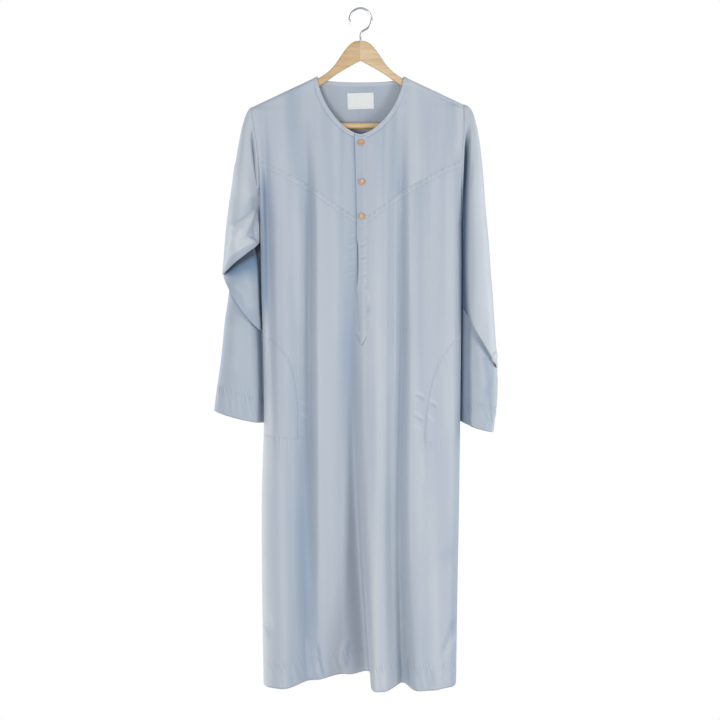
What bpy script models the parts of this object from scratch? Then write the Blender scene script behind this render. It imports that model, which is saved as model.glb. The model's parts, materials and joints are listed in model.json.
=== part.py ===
"""Thobe robe hanging flat on a wooden hanger. Metres, +Z up, +X the viewer's right, the front faces -Y.

The origin is the top of the hook's inside, where the hanger hangs on a rail. Names say right and left as
the wearer would, so the right sleeve lies at -X. Each cloth piece is a grid of points on the middle of its
cloth, worked out from the sizes and tables below, and gets its wall from that grid.
"""
import math

import bpy
import numpy as np

MM = 0.001

# ---------------------------------------------------------------- cloth and seams
CLOTH = 1.1 * MM            # wall of one layer
SEAM = 0.9 * MM             # between the middles of two pieces that meet edge to edge at an angle
BUTT = 0.4 * MM             # between two edges on one surface
YOKE_GAP = 0.9 * MM         # along the V seam
SLEEVE_GAP = 1.4 * MM       # round the armholes
BAND_GAP = 1.1 * MM         # from the band's edge to the edges it is sewn to
LAYER = 1.9 * MM            # from the middle of a panel to the middle of a piece that lies on it
MITER = 0.6                 # least cosine used when a wall is kept thick at a crease

# ---------------------------------------------------------------- hanger
HANGER_HALF = 5.6 * MM      # half its thickness, front to back
BAR_Z = -230 * MM
BAR_RADIUS = 6 * MM
BAR_END = 185.4 * MM
HOOK_WIRE = 2.0 * MM        # radius
HOOK_RADIUS = 20 * MM       # of the hook's inside
HOOK_FOOT = -60.2 * MM      # where the wire enters the wood
HOOK_NECK = [(0, -52), (1.2, -46.5), (5, -42.2)]   # x, z of its bend up to the hook (mm)
HOOK_START = -62            # degrees; 0 points to +X
HOOK_TURN = 267             # degrees that the hook goes round

# ---------------------------------------------------------------- shoulders and neck
NECK_HALF = 87 * MM         # half the finished neck's width, at the shoulder
NECK_TOP = -132 * MM        # height of the shoulder there
SHOULDER_SLOPE = 0.46
RIDGE_HALF = 8.0 * MM       # half the cloth's thickness over the hanger
RIDGE_DROP = 8 * MM         # height over which it rounds off
FRONT_NECK = -247 * MM      # lowest point of the neck at the front
BACK_NECK = -143 * MM       # and at the back
FRONT_NECK_POWER = 1.6
BACK_NECK_POWER = 2.3
BAND = 8 * MM               # width of the neckband
BAND_WALL = 2.2 * MM        # its folded thickness

# ---------------------------------------------------------------- body
HEM = -1402 * MM
ARMPIT = -424 * MM
SIDE_POWER = 3.0            # how square the body's sides are, seen from above
ARMHOLE_BULGE = 16 * MM
SHOULDER_REACH = 25 * MM    # drop over which the body takes its depth below the shoulders
SIDE_CALM = 0.06            # share of the half width over which folds die out at the sides

# height, half width at -X, half width at +X, depth of the front, depth of the back (mm)
BODY = [
    (-132, 219, 207, 8.0, 8.0),
    (-200, 219, 208, 13, 12),
    (-240, 213, 208, 19, 16),
    (-280, 208, 205, 25, 20),
    (-360, 204, 203, 33, 28),
    (-440, 203, 203, 39, 35),
    (-560, 201, 204, 46, 41),
    (-680, 199, 205, 52, 47),
    (-800, 198, 205, 56, 53),
    (-1015, 205, 204, 63, 68),
    (-1200, 204, 204, 70, 82),
    (-1402, 203, 204, 78, 98),
]

# Each fold is a trough. Depth and place go by height: shoulder, chest, waist, knee, hem.
FOLD_HEIGHTS = (-200, -300, -440, -680, -1015, -1402)
# name, centres, depths, widths to -X and to +X above the waist and at the hem, lean at the hem (mm)
FRONT_FOLDS = [
    ("outer right", (-190, -188, -187, -184, -178, -180), (0, 2, 6, 8, 5, 5), (13, 13), (14, 14), 0),
    ("side right", (-142, -142, -141, -141, -146, -147), (0, 1, 2, 3, 5, 4), (12, 12), (12, 12), 0),
    ("right main", (-112, -110, -105, -106, -110, -114), (1, 9, 21, 26, 30, 36), (21, 11), (26, 34), 0),
    ("right recess", (-60, -60, -60, -60, -56, -40), (0, 0, 0, 3, 22, 98), (46, 60), (62, 36), 0),
    ("placket edge", (-14, -14, -13, -16, -16, -16), (0, 4, 7, 4, 0, 0), (24, 24), (24, 24), 0),
    ("centre", (-18, -18, -18, -20, -14, 0), (0, 0, 2, 16, 42, 86), (20, 20), (15, 15), 18),
    ("left small", (63, 62, 63, 62, 64, 65), (1, 3, 5, 5, 4, 3), (11, 11), (10, 10), 0),
    ("left main", (87, 86, 86, 85, 87, 91), (1, 9, 17, 23, 30, 52), (12, 12), (17, 17), 0),
    ("left side", (118, 119, 119, 121, 139, 141), (0, 2, 3, 3, 3, 3), (10, 10), (10, 10), 0),
    ("outer left", (166, 164, 161, 157, 168, 178), (0, 4, 6, 7, 5, 6), (12, 12), (14, 14), 0),
]
BACK_FOLDS = [
    ("outer right", (-170, -168, -165, -160, -158, -160), (0, 3, 8, 12, 18, 26), (14, 14), (17, 17), 0),
    ("right", (-104, -102, -98, -94, -88, -84), (0, 4, 10, 17, 27, 42), (18, 18), (16, 16), -6),
    ("centre right", (-40, -38, -36, -34, -30, -26), (0, 2, 6, 9, 9, 8), (12, 12), (14, 14), 0),
    ("centre left", (38, 40, 43, 47, 52, 58), (0, 5, 11, 16, 25, 36), (16, 16), (20, 20), 7),
    ("left", (112, 112, 114, 118, 124, 128), (0, 4, 8, 12, 20, 34), (17, 17), (15, 15), 0),
    ("outer left", (172, 170, 168, 168, 170, 172), (0, 2, 5, 7, 9, 12), (11, 11), (12, 12), 0),
]

# ---------------------------------------------------------------- V seam, placket, buttons
V_HALF = 205 * MM           # half the body's width where the V seam meets the armholes
# distance from the centre, height of the seam (mm)
V_SEAM = [(0, -419), (11, -413), (65, -376), (94, -355), (142, -329), (170, -313), (205, -301)]
SLIT_HALF = 6 * MM
PLACKET_FROM = -11.2 * MM
PLACKET_TO = 12.4 * MM
PLACKET_TIP = -669 * MM
UNDER_END = -640 * MM
UNDER_FROM = -12.2 * MM
UNDER_TO = 9.0 * MM
BUTTON_RADIUS = 6.5 * MM
BUTTON_THICK = 2.6 * MM
BUTTON_GAP = 0.45 * MM
BUTTONS = [(2, -264), (4, -342), (4, -411)]        # x, z (mm)

# ---------------------------------------------------------------- pockets, label
# height, distance of the bag's edge from the centre at -X and at +X (mm)
POCKET = [
    (-648, 188, 190),
    (-672, 174, 187),
    (-693, 154, 173),
    (-719, 143, 159),
    (-744, 137, 150),
    (-775, 133, 143),
    (-813, 130, 137),
    (-853, 130, 133),
    (-868, 131, 133),
]
POCKET_COLUMNS = (0.62, 0.68, 0.74, 0.80, 0.86, 0.91, 0.945)
SHARE_STEP = 0.008          # least share of the body's half width between two columns
POCKET_EASE = 1.0 * MM      # further from the front than a strip
LABEL = (-27, 27, -164, -196)                      # from x, to x, top, bottom (mm)

# ---------------------------------------------------------------- sleeves
# outer edge x, z, inner edge x, z, half depth, share of a plain oval (mm)
SLEEVE_RIGHT = [
    (219.9, -192.8, 204.9, -424.0, 24, 0.00),
    (223.5, -195.5, 206.3, -426.0, 26, 0.25),
    (229.5, -204.5, 207.4, -428.5, 30, 0.50),
    (238.5, -228.0, 208.2, -432.0, 36, 0.80),
    (249.0, -274.0, 208.6, -436.5, 42, 1.00),
    (259.0, -334.0, 208.8, -442.0, 47, 1.00),
    (268.5, -390.0, 208.8, -448.0, 50, 1.00),
    (276.0, -447.0, 208.6, -454.0, 52, 1.00),
    (281.0, -497.0, 208.4, -459.5, 53, 1.00),
    (284.5, -531.0, 208.0, -465.0, 54, 1.00),
    (281.5, -533.0, 210.8, -465.5, 51, 1.00),
    (276.0, -527.0, 215.5, -457.0, 44, 1.00),
    (274.0, -535.0, 213.0, -482.0, 46, 1.00),
    (271.5, -545.0, 210.0, -560.0, 47, 1.00),
    (269.8, -554.0, 205.2, -646.0, 47, 1.00),
    (268.6, -558.0, 208.2, -648.0, 44, 1.00),
    (269.5, -564.0, 213.0, -636.0, 38, 1.00),
    (274.5, -582.0, 208.5, -660.0, 38, 1.00),
    (281.0, -628.0, 204.5, -700.0, 37, 1.00),
    (290.0, -706.0, 203.5, -760.0, 35, 1.00),
    (299.0, -770.0, 203.5, -808.0, 32, 1.00),
    (305.5, -815.0, 204.5, -842.0, 29, 1.00),
]
SLEEVE_LEFT = [
    (208.4, -187.3, 203.9, -424.0, 24, 0.00),
    (216.5, -191.5, 205.8, -426.0, 26, 0.20),
    (225.5, -202.0, 207.3, -428.5, 30, 0.45),
    (235.5, -232.0, 208.2, -432.0, 35, 0.80),
    (243.0, -272.0, 208.5, -436.5, 40, 1.00),
    (249.5, -330.0, 208.7, -442.0, 44, 1.00),
    (256.0, -395.0, 208.8, -450.0, 47, 1.00),
    (263.0, -460.0, 209.0, -466.0, 49, 1.00),
    (268.5, -525.0, 209.3, -506.0, 51, 1.00),
    (274.0, -590.0, 209.5, -541.0, 52, 1.00),
    (279.5, -660.0, 209.8, -574.0, 52, 1.00),
    (285.0, -722.0, 210.0, -600.0, 52, 1.00),
    (282.0, -726.0, 212.6, -601.5, 48, 1.00),
    (277.5, -720.0, 217.5, -595.0, 41, 1.00),
    (280.0, -733.0, 214.5, -612.0, 40, 1.00),
    (284.0, -752.0, 209.5, -650.0, 39, 1.00),
    (285.0, -775.0, 209.0, -715.0, 38, 1.00),
    (283.0, -815.0, 209.5, -775.0, 35, 1.00),
    (278.0, -860.0, 211.5, -838.0, 31, 1.00),
]
SLEEVE_POINTS = 22

# ---------------------------------------------------------------- finish
CLOTH_COLOUR = (0.45, 0.51, 0.60)
BAND_COLOUR = (0.43, 0.49, 0.57)
LABEL_COLOUR = (0.78, 0.78, 0.77)
BUTTON_COLOUR = (0.40, 0.26, 0.16)
WOOD_DARK = (0.61, 0.44, 0.27)
WOOD_LIGHT = (0.70, 0.52, 0.34)
STEEL_COLOUR = (0.60, 0.60, 0.61)


def table(rows, height, column):
    """Value of a table's column at a height; rows run downwards, both in mm."""
    heights = [-row[0] for row in rows]
    values = [row[column] for row in rows]
    return float(np.interp(-height / MM, heights, values)) * MM


def shoulder(x):
    """Height of the shoulder's ridge."""
    return NECK_TOP - SHOULDER_SLOPE * (abs(x) - NECK_HALF)


def v_seam(x):
    """Height of the V seam."""
    return float(np.interp(abs(x) / MM, [row[0] for row in V_SEAM], [row[1] for row in V_SEAM])) * MM


def neck_edge(share, margin, back):
    """Point (x, z) of the neckline moved out by a margin; share runs from 0 at the centre to 1."""
    half = NECK_HALF + margin
    top = shoulder(half)
    low = (BACK_NECK if back else FRONT_NECK) - margin
    power = BACK_NECK_POWER if back else FRONT_NECK_POWER
    fall = (1 - min(1, abs(share)) ** power) ** (1 / power)
    return share * half, top - (top - low) * fall


def half_width(z, side):
    return table(BODY, z, 1 if side < 0 else 2)


def ridge(drop):
    """Half thickness of the cloth at a drop below the shoulder's ridge."""
    inside = min(1.0, max(0.0, 1 - drop / RIDGE_DROP))
    return SEAM / 2 + RIDGE_HALF * math.sqrt(1 - inside * inside)


def armhole(z, half):
    """Half depth of the armhole at a height, where it lies a half width from the centre."""
    top = shoulder(half)
    share = min(1.0, max(0.0, (top - z) / (top - ARMPIT)))
    bulge = ARMHOLE_BULGE * math.sin(math.pi * share ** 0.9)
    return (ridge(top - z) + bulge) * math.sqrt(1 - share ** 8)


def fold_shift(folds, x, z):
    """Depth of all troughs at a point, and how far they push it sideways."""
    heights = [-value for value in FOLD_HEIGHTS]
    depth_sum = 0.0
    push = 0.0
    hem_share = np.interp(-z / MM, (680, 1402), (0, 1))
    for _name, centres, depths, left_widths, right_widths, lean in folds:
        centre = np.interp(-z / MM, heights, centres)
        depth = np.interp(-z / MM, heights, depths)
        widths = left_widths if x / MM < centre else right_widths
        width = widths[0] + (widths[1] - widths[0]) * hem_share
        swell = math.exp(-((x / MM - centre) / width) ** 2)
        depth_sum += depth * swell
        push += lean * hem_share * swell
    return depth_sum * MM, push * MM


def body_point(share, z, back):
    """Point of the body's cloth; share runs from -1 at one side to 1 at the other."""
    half = half_width(z, share)
    x = share * half
    drop = max(0.0, shoulder(x) - z)
    near = 1 - math.exp(-drop / SHOULDER_REACH)
    depth = ridge(drop) + (table(BODY, z, 4 if back else 3) - RIDGE_HALF) * near
    edge = armhole(z, half) if z > ARMPIT else 0.0
    rounding = max(0.0, 1 - abs(share) ** SIDE_POWER) ** (1 / SIDE_POWER)
    trough, push = fold_shift(BACK_FOLDS if back else FRONT_FOLDS, x, z)
    calm = min(1.0, (1 - abs(share)) / SIDE_CALM) * near
    y = edge + (depth - edge) * rounding - trough * calm
    if z <= ARMPIT:
        y = y + SEAM / 2 * (1 - rounding)
    return (x + push * calm, y if back else -y, z)


def material(name, colour, roughness=0.8, metallic=0.0):
    made = bpy.data.materials.get(name)
    if made is None:
        made = bpy.data.materials.new(name)
        made.use_nodes = True
        shader = made.node_tree.nodes["Principled BSDF"]
        shader.inputs["Base Color"].default_value = (*colour, 1)
        shader.inputs["Roughness"].default_value = roughness
        shader.inputs["Metallic"].default_value = metallic
    return made


def add_object(name, points, faces, finish):
    mesh = bpy.data.meshes.new(name)
    mesh.from_pydata([tuple(float(value) for value in point) for point in points], [], faces)
    mesh.validate()
    mesh.shade_smooth()
    mesh.set_sharp_from_angle(angle=math.radians(50))
    mesh.materials.append(finish)
    made = bpy.data.objects.new(name, mesh)
    bpy.context.scene.collection.objects.link(made)
    return made


def wall(name, grid, finish, thick=CLOTH, closed=False, cut=()):
    """Solid wall round a grid of middle points [row][column]; cut names the cells that are left out."""
    grid = np.array(grid)
    rows, columns = grid.shape[:2]
    points = grid.reshape(-1, 3)
    quads = []
    for row in range(rows - 1):
        for column in range(columns if closed else columns - 1):
            if (row, column) not in cut:
                after = (column + 1) % columns
                quads.append((row * columns + column, row * columns + after,
                              (row + 1) * columns + after, (row + 1) * columns + column))
    normals = np.zeros_like(points)
    face_normals = []
    for a, b, c, d in quads:
        normal = np.cross(points[c] - points[a], points[d] - points[b])
        normal /= max(np.linalg.norm(normal), 1e-12)
        face_normals.append(normal)
        for corner in (a, b, c, d):
            normals[corner] += normal
    lengths = np.maximum(np.linalg.norm(normals, axis=1), 1e-12)
    normals /= lengths[:, None]
    least = np.ones(len(points))
    for quad, normal in zip(quads, face_normals):
        for corner in quad:
            least[corner] = min(least[corner], float(normals[corner] @ normal))
    offsets = normals * (thick / 2 / np.maximum(least, MITER))[:, None]
    used = sorted({corner for quad in quads for corner in quad})
    place = {corner: index for index, corner in enumerate(used)}
    count = len(used)
    solid = np.vstack([points[used] + offsets[used], points[used] - offsets[used]])
    faces = []
    edges = set()
    for quad in quads:
        outer = [place[corner] for corner in quad]
        a, b, c, d = quad
        if np.linalg.norm(points[a] - points[c]) > np.linalg.norm(points[b] - points[d]):
            outer = outer[1:] + outer[:1]
        for triangle in (outer[:3], [outer[0], outer[2], outer[3]]):
            faces.append(triangle)
            faces.append([index + count for index in reversed(triangle)])
        for start, end in zip(outer, outer[1:] + outer[:1]):
            edges.add((start, end))
    for start, end in sorted(edges):
        if (end, start) not in edges:
            faces.append([end, start, start + count, end + count])
    return add_object(name, solid, faces, finish)


def loft(name, rings, finish):
    """Closed solid through rings of equal length, with flat ends."""
    size = len(rings[0])
    points = [point for ring in rings for point in ring]
    faces = []
    for row in range(len(rings) - 1):
        for column in range(size):
            after = (column + 1) % size
            faces.append([row * size + column, row * size + after,
                          (row + 1) * size + after, (row + 1) * size + column])
    faces.append(list(range(size - 1, -1, -1)))
    last = (len(rings) - 1) * size
    faces.append([last + index for index in range(size)])
    return add_object(name, points, faces, finish)


# ---------------------------------------------------------------- body panels
NECK_SHARES = (0.131, 0.25, 0.40, 0.53, 0.65, 0.75, 0.83, 0.90, 0.95, 0.975, 1.0)
OUTER_COLUMNS = (0.51, 0.56, 0.62, 0.68, 0.74, 0.80, 0.86, 0.91, 0.95, 0.98, 1.0)
RIDGE_ROWS = (0, 1 * MM, 4 * MM, 9 * MM)
YOKE_ROWS = (0.10, 0.24, 0.40, 0.58, 0.78, 1.0)
SKIRT_COLUMNS = (0.030, 0.062, 0.095, 0.13, 0.17, 0.22, 0.27, 0.32, 0.37, 0.42, 0.46, 0.51,
                 0.56, 0.62, 0.68, 0.74, 0.80, 0.86, 0.91, 0.95, 0.98, 1.0)
SKIRT_ROWS = (0, 0.035, 0.075, 0.1125, 0.17, 0.2322, 0.30, 0.38, 0.46, 0.54, 0.62, 0.70, 0.78, 0.86,
              0.93, 1.0)
SLIT_ROW = 5                # the slit ends at this row of the skirt


def column_down(share, start, end, rows, back, lead=()):
    """Points down one column, from a start height to an end height."""
    heights = [start - step for step in lead]
    first = heights[-1] if heights else start
    heights += [first + (end - first) * row for row in rows]
    return [body_point(share, z, back) for z in heights]


def as_rows(columns, flip):
    """Turn columns into rows; flip where the outside would face in."""
    rows = [list(row) for row in zip(*columns)]
    return [row[::-1] for row in rows] if flip else rows


def top_share(x, side):
    """Share of the body's half width at the shoulders."""
    return x / half_width(NECK_TOP, side)


def make_yoke(name, side, finish):
    """Upper front of one side; its ridge rows run only where it lies over the hanger."""
    margin = BAND + BAND_GAP
    tops = []
    for neck_share in (SLIT_HALF / (NECK_HALF + margin),) + NECK_SHARES[:-1]:
        x, z = neck_edge(neck_share, margin, False)
        tops.append((top_share(x, side), z))
    inner = len(tops)
    for share in (top_share(NECK_HALF + margin, side),) + OUTER_COLUMNS:
        tops.append((share, shoulder(share * half_width(NECK_TOP, side))))
    columns = []
    for index, (share, top) in enumerate(tops):
        low = v_seam(share * V_HALF) + YOKE_GAP / 2
        lead = RIDGE_ROWS if index >= inner else (0,) * len(RIDGE_ROWS)
        columns.append(column_down(side * share, top, low, YOKE_ROWS, False, lead))
    last = len(columns) - 2
    cells = [(row, column) for row in range(len(RIDGE_ROWS) - 1) for column in range(inner)]
    if side < 0:
        cells = [(row, last - column) for row, column in cells]
    return wall(name, as_rows(columns, side < 0), finish, cut=cells)


def make_front(finish):
    shares = [-share for share in reversed(SKIRT_COLUMNS)] + list(SKIRT_COLUMNS)
    columns = []
    for share in shares:
        top = v_seam(share * V_HALF) - YOKE_GAP / 2
        columns.append(column_down(share, top, HEM, SKIRT_ROWS, False))
    middle = len(SKIRT_COLUMNS) - 1
    slit = [(row, middle) for row in range(SLIT_ROW)]
    return wall("front", as_rows(columns, False), finish, cut=slit)


BACK_COLUMNS = (0.0, 0.22, 0.43, 0.62, 0.78, 0.90, 0.97)     # shares of the neck
BACK_NECK_ROW = 2           # the back neck starts at this row
BACK_SIDE = (0.51, 0.58, 0.66, 0.74, 0.82, 0.89, 0.95, 0.98, 1.0)
BACK_ROWS = (0.05, 0.11, 0.165, 0.2295, 0.30, 0.38, 0.46, 0.55, 0.64, 0.73, 0.82, 0.91, 1.0)
BACK_PIT_ROW = 3            # this row reaches the armpit at the sides


def back_columns(side):
    """Columns of half the back, from its middle to one side, and how many lie inside the neck."""
    margin = BAND + BAND_GAP
    tops = []
    for share in BACK_COLUMNS:
        x, z = neck_edge(share, margin, True)
        tops.append((top_share(x, side), z))
    inner = len(tops)
    for share in (top_share(NECK_HALF + margin, side),) + BACK_SIDE:
        tops.append((share, shoulder(share * half_width(NECK_TOP, side))))
    pit_share = BACK_ROWS[BACK_PIT_ROW]
    columns = []
    for index, (share, top) in enumerate(tops):
        heights = [top - step for step in RIDGE_ROWS]
        if index < inner:
            heights = [top] * (BACK_NECK_ROW + 1) + [top - RIDGE_ROWS[-1] / 2]
        first = heights[-1]
        pit = ARMPIT if share == 1 else first + (HEM - first) * pit_share
        for row in BACK_ROWS:
            heights.append(float(np.interp(row, (0, pit_share, 1), (first, pit, HEM))))
        columns.append([body_point(side * share, z, True) for z in heights])
    return columns, inner


def make_back(finish):
    right, inner = back_columns(-1)
    left, inner = back_columns(1)
    middle = len(right) - 1
    cells = [(row, column) for row in range(BACK_NECK_ROW)
             for column in range(middle - inner, middle + inner)]
    return wall("back", as_rows(right[:0:-1] + left, True), finish, cut=cells)


def make_binding(finish):
    """Folded band round the neck, its ends at the placket's edge."""
    over = [(1.0, False, drop) for drop in RIDGE_ROWS[:0:-1]] + [(1.0, False, 0.0)]
    over += [(1.0, True, drop) for drop in RIDGE_ROWS[:BACK_NECK_ROW + 1]]
    edge = SLIT_HALF / (NECK_HALF + BAND + BAND_GAP)
    start = (PLACKET_FROM / NECK_HALF, -edge, 0.0, edge)
    left = [(share, False, None) for share in start + NECK_SHARES[:-1]]
    rear = [(share, True, None) for share in BACK_COLUMNS[::-1]]
    rear += [(-share, True, None) for share in BACK_COLUMNS[1:]]
    right = [(-share, False, None) for share in NECK_SHARES[-2:0:-1]]
    right.append(((PLACKET_FROM - 2 * BUTT) / NECK_HALF, False, None))
    stations = left + over + rear + [(-share, back, drop) for share, back, drop in over[::-1]] + right
    rows = []
    for margin in (0.0, BAND / 2, BAND):
        row = []
        for share, back, drop in stations:
            x, z = neck_edge(share, margin, back)
            if drop is not None:
                z = shoulder(x) - drop
            row.append(body_point(x / half_width(z, x), z, back))
        rows.append(row)
    return wall("neck_binding", rows, finish, thick=BAND_WALL)


def lifted(share, z, back, lift):
    """Point of the body's cloth moved towards the front, square to the cloth."""
    right = np.array(body_point(share + 0.5 * SHARE_STEP, z, back))
    right -= np.array(body_point(share - 0.5 * SHARE_STEP, z, back))
    up = np.array(body_point(share, z + MM, back)) - np.array(body_point(share, z - MM, back))
    out = np.cross(right, up)
    return np.array(body_point(share, z, back)) + out / np.linalg.norm(out) * lift


def strip(name, from_x, to_x, heights, tip, outwards, finish):
    rows = []
    middle = (from_x + to_x) / 2
    half = (to_x - from_x) / 2
    for index, z in enumerate(heights):
        last = index == len(heights) - 1
        row = []
        for step in (-1, -0.5, 0, 0.5, 1):
            x = middle + step * half
            fall = (tip - z) * (1 - abs(step)) if last else 0
            top = neck_edge(x / (NECK_HALF + BAND + BAND_GAP), BAND + BAND_GAP, False)[1]
            height = top if index == 0 else z + fall
            row.append(lifted(x / half_width(height, x), height, False, outwards))
        rows.append(row)
    return wall(name, rows, finish)


STRIP_ROWS = (-255, -275, -310, -350, -385, -420, -460, -505, -555, -600, -648)
STRIP_HEIGHTS = [value * MM for value in STRIP_ROWS]


def make_pocket(name, side, finish):
    """Bag behind the front: the front's own columns, held back by the bag's curved edge."""
    rows = []
    for height in [row[0] * MM for row in POCKET]:
        inner = table(POCKET, height, 1 if side < 0 else 2) / half_width(height, side)
        row = []
        for step, share in enumerate(POCKET_COLUMNS):
            kept = max(share, inner + SHARE_STEP * step)
            row.append(lifted(side * kept, height, False, -LAYER - POCKET_EASE))
        rows.append(row if side > 0 else row[::-1])
    return wall(name, rows, finish)


def make_label(finish):
    from_x, to_x, top, bottom = [value * MM for value in LABEL]
    rows = []
    for row in range(4):
        z = top + (bottom - top) * row / 3
        points = []
        for column in range(5):
            x = from_x + (to_x - from_x) * column / 4
            points.append(lifted(x / half_width(z, x), z, True, LAYER))
        rows.append(points)
    return wall("neck_label", rows, finish, thick=0.8 * MM)


# ---------------------------------------------------------------- sleeves
def make_sleeve(name, side, rows, finish):
    """Flattened tube; its first ring follows the armhole, and its rings grow oval down from there."""
    grid = []
    for outer_x, outer_z, inner_x, inner_z, half, oval in rows:
        ring = []
        for step in range(SLEEVE_POINTS):
            angle = 2 * math.pi * step / SLEEVE_POINTS
            share = (1 - math.cos(angle)) / 2
            x = (outer_x + (inner_x - outer_x) * share) * MM
            z = (outer_z + (inner_z - outer_z) * share) * MM
            depth = half * MM * abs(math.sin(angle))
            if oval == 0:
                x = half_width(z, side) + SLEEVE_GAP
            if oval < 1:
                depth = armhole(z, half_width(z, side)) * (1 - oval) + depth * oval
            y = depth if math.sin(angle) > 0 else -depth
            ring.append((side * x, y * side, z))
        grid.append(ring)
    return wall(name, grid, finish, closed=True)


# ---------------------------------------------------------------- buttons and hanger
def make_button(number, x, z, finish):
    """Turned button: flat back, rounded rim, shallow dish in front."""
    profile = [(0.0, 0.0), (0.86, 0.0), (1.0, 0.35), (0.96, 0.8), (0.82, 1.0), (0.62, 0.86), (0.0, 0.72)]
    x *= MM
    z *= MM
    middle = np.array(body_point(x / half_width(z, x), z, False))
    right = np.array(body_point((x + BUTTON_RADIUS) / half_width(z, x), z, False)) - middle
    up = np.array(body_point(x / half_width(z, x), z + BUTTON_RADIUS, False)) - middle
    out = np.cross(right, up)
    out /= np.linalg.norm(out)
    right /= np.linalg.norm(right)
    up = np.cross(out, right)
    base = middle + out * (LAYER + CLOTH / 2 + BUTTON_GAP)
    turns = 20
    points = [base]
    faces = []
    for radius, height in profile[1:-1]:
        for step in range(turns):
            angle = 2 * math.pi * step / turns
            around = right * math.cos(angle) + up * math.sin(angle)
            points.append(base + around * radius * BUTTON_RADIUS + out * height * BUTTON_THICK)
    points.append(base + out * profile[-1][1] * BUTTON_THICK)
    rings = len(profile) - 2
    for step in range(turns):
        after = (step + 1) % turns
        faces.append([0, 1 + after, 1 + step])
        for ring in range(rings - 1):
            low = 1 + ring * turns
            faces.append([low + step, low + after, low + turns + after, low + turns + step])
        low = 1 + (rings - 1) * turns
        faces.append([low + step, low + after, len(points) - 1])
    return add_object("button_%d" % number, points, faces, finish)


# distance from the centre, top, bottom, share of the full thickness (mm)
HANGER_ARM = [
    (0.15, -61.0, -101.0, 1.0),
    (10.0, -62.5, -106.0, 1.0),
    (19.0, -67.0, -111.0, 1.0),
    (31.0, -79.5, -117.5, 1.0),
    (40.0, -92.0, -122.5, 1.0),
    (52.0, -109.0, -130.0, 1.0),
    (69.0, -125.5, -142.0, 1.0),
    (87.0, -136.4, -153.0, 1.0),
    (120.0, -151.0, -171.0, 1.0),
    (160.0, -168.8, -190.0, 1.0),
    (185.7, -180.0, -203.0, 1.0),
    (186.5, -180.4, -241.0, 1.0),
    (198.0, -186.4, -246.0, 1.0),
    (209.0, -194.0, -242.0, 0.92),
    (216.0, -202.0, -232.0, 0.75),
    (218.5, -208.0, -224.0, 0.5),
]


def make_arm(name, side, finish):
    rings = []
    for x, top, bottom, share in HANGER_ARM:
        ring = []
        for step in range(12):
            angle = 2 * math.pi * step / 12
            across = math.copysign(abs(math.cos(angle)) ** 0.8, math.cos(angle))
            along = math.copysign(abs(math.sin(angle)) ** 0.8, math.sin(angle))
            y = across * HANGER_HALF * share
            z = ((top + bottom) / 2 + along * (top - bottom) / 2) * MM
            ring.append((side * x * MM, y * side, z))
        rings.append(ring)
    return loft(name, rings, finish)


def tube(name, path, radius, sides, finish):
    """Round rod along a path in the XZ plane."""
    path = np.array(path)
    rings = []
    for index in range(len(path)):
        before = path[max(0, index - 1)]
        after = path[min(len(path) - 1, index + 1)]
        along = (after - before) / np.linalg.norm(after - before)
        across = np.array((0.0, 1.0, 0.0))
        third = np.cross(along, across)
        ring = []
        for step in range(sides):
            angle = 2 * math.pi * step / sides
            ring.append(path[index] + radius * (math.cos(angle) * across + math.sin(angle) * third))
        rings.append(ring)
    return loft(name, rings, finish)


def make_hook(finish):
    centre_z = -HOOK_RADIUS
    radius = HOOK_RADIUS + HOOK_WIRE
    path = [(0.0, 0.0, HOOK_FOOT)] + [(x * MM, 0.0, z * MM) for x, z in HOOK_NECK]
    for step in range(17):
        angle = math.radians(HOOK_START + HOOK_TURN * step / 16)
        path.append((radius * math.cos(angle), 0.0, centre_z + radius * math.sin(angle)))
    return tube("hanger_hook", path, HOOK_WIRE, 10, finish)


def main():
    for old in list(bpy.data.objects):
        bpy.data.objects.remove(old, do_unlink=True)
    cloth = material("robe cloth", CLOTH_COLOUR)
    band = material("neckband cloth", BAND_COLOUR)
    make_back(cloth)
    make_front(cloth)
    make_yoke("yoke_right", -1, cloth)
    make_yoke("yoke_left", 1, cloth)
    under = STRIP_HEIGHTS[:-1] + [UNDER_END]
    strip("placket", PLACKET_FROM, PLACKET_TO, STRIP_HEIGHTS, PLACKET_TIP, LAYER, band)
    strip("placket_under", UNDER_FROM, UNDER_TO, under, UNDER_END, -LAYER, band)
    make_binding(band)
    make_sleeve("sleeve_right", -1, SLEEVE_RIGHT, cloth)
    make_sleeve("sleeve_left", 1, SLEEVE_LEFT, cloth)
    make_pocket("pocket_right", -1, cloth)
    make_pocket("pocket_left", 1, cloth)
    make_label(material("label weave", LABEL_COLOUR, 0.7))
    for number, (x, z) in enumerate(BUTTONS, 1):
        make_button(number, x, z, material("button", BUTTON_COLOUR, 0.45))
    make_arm("hanger_arm_right", -1, material("darker wood", WOOD_DARK, 0.5))
    make_arm("hanger_arm_left", 1, material("lighter wood", WOOD_LIGHT, 0.5))
    wood_bar = material("bar wood", WOOD_DARK, 0.5)
    tube("hanger_bar", [(-BAR_END, 0, BAR_Z), (0, 0, BAR_Z), (BAR_END, 0, BAR_Z)], BAR_RADIUS, 16, wood_bar)
    make_hook(material("steel", STEEL_COLOUR, 0.3, 1.0))


main()
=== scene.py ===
# %% [markdown]
# # A thobe robe on a wooden hanger
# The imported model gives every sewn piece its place. Here each cloth piece is made again as thin cloth with
# its folds, gathers and stitches, and the buttons and the hanger get turned and planed surfaces.
# Sizes are in millimetres in the tables and turn into metres when a mesh is made. +Z is up, +X is to the
# viewer's right, the front faces -Y, and the hanger hangs from the origin.

# %% Load the fixed frame
import json
import math

import bmesh
import bpy
import numpy as np
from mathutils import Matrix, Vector
from mathutils.geometry import delaunay_2d_cdt

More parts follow.
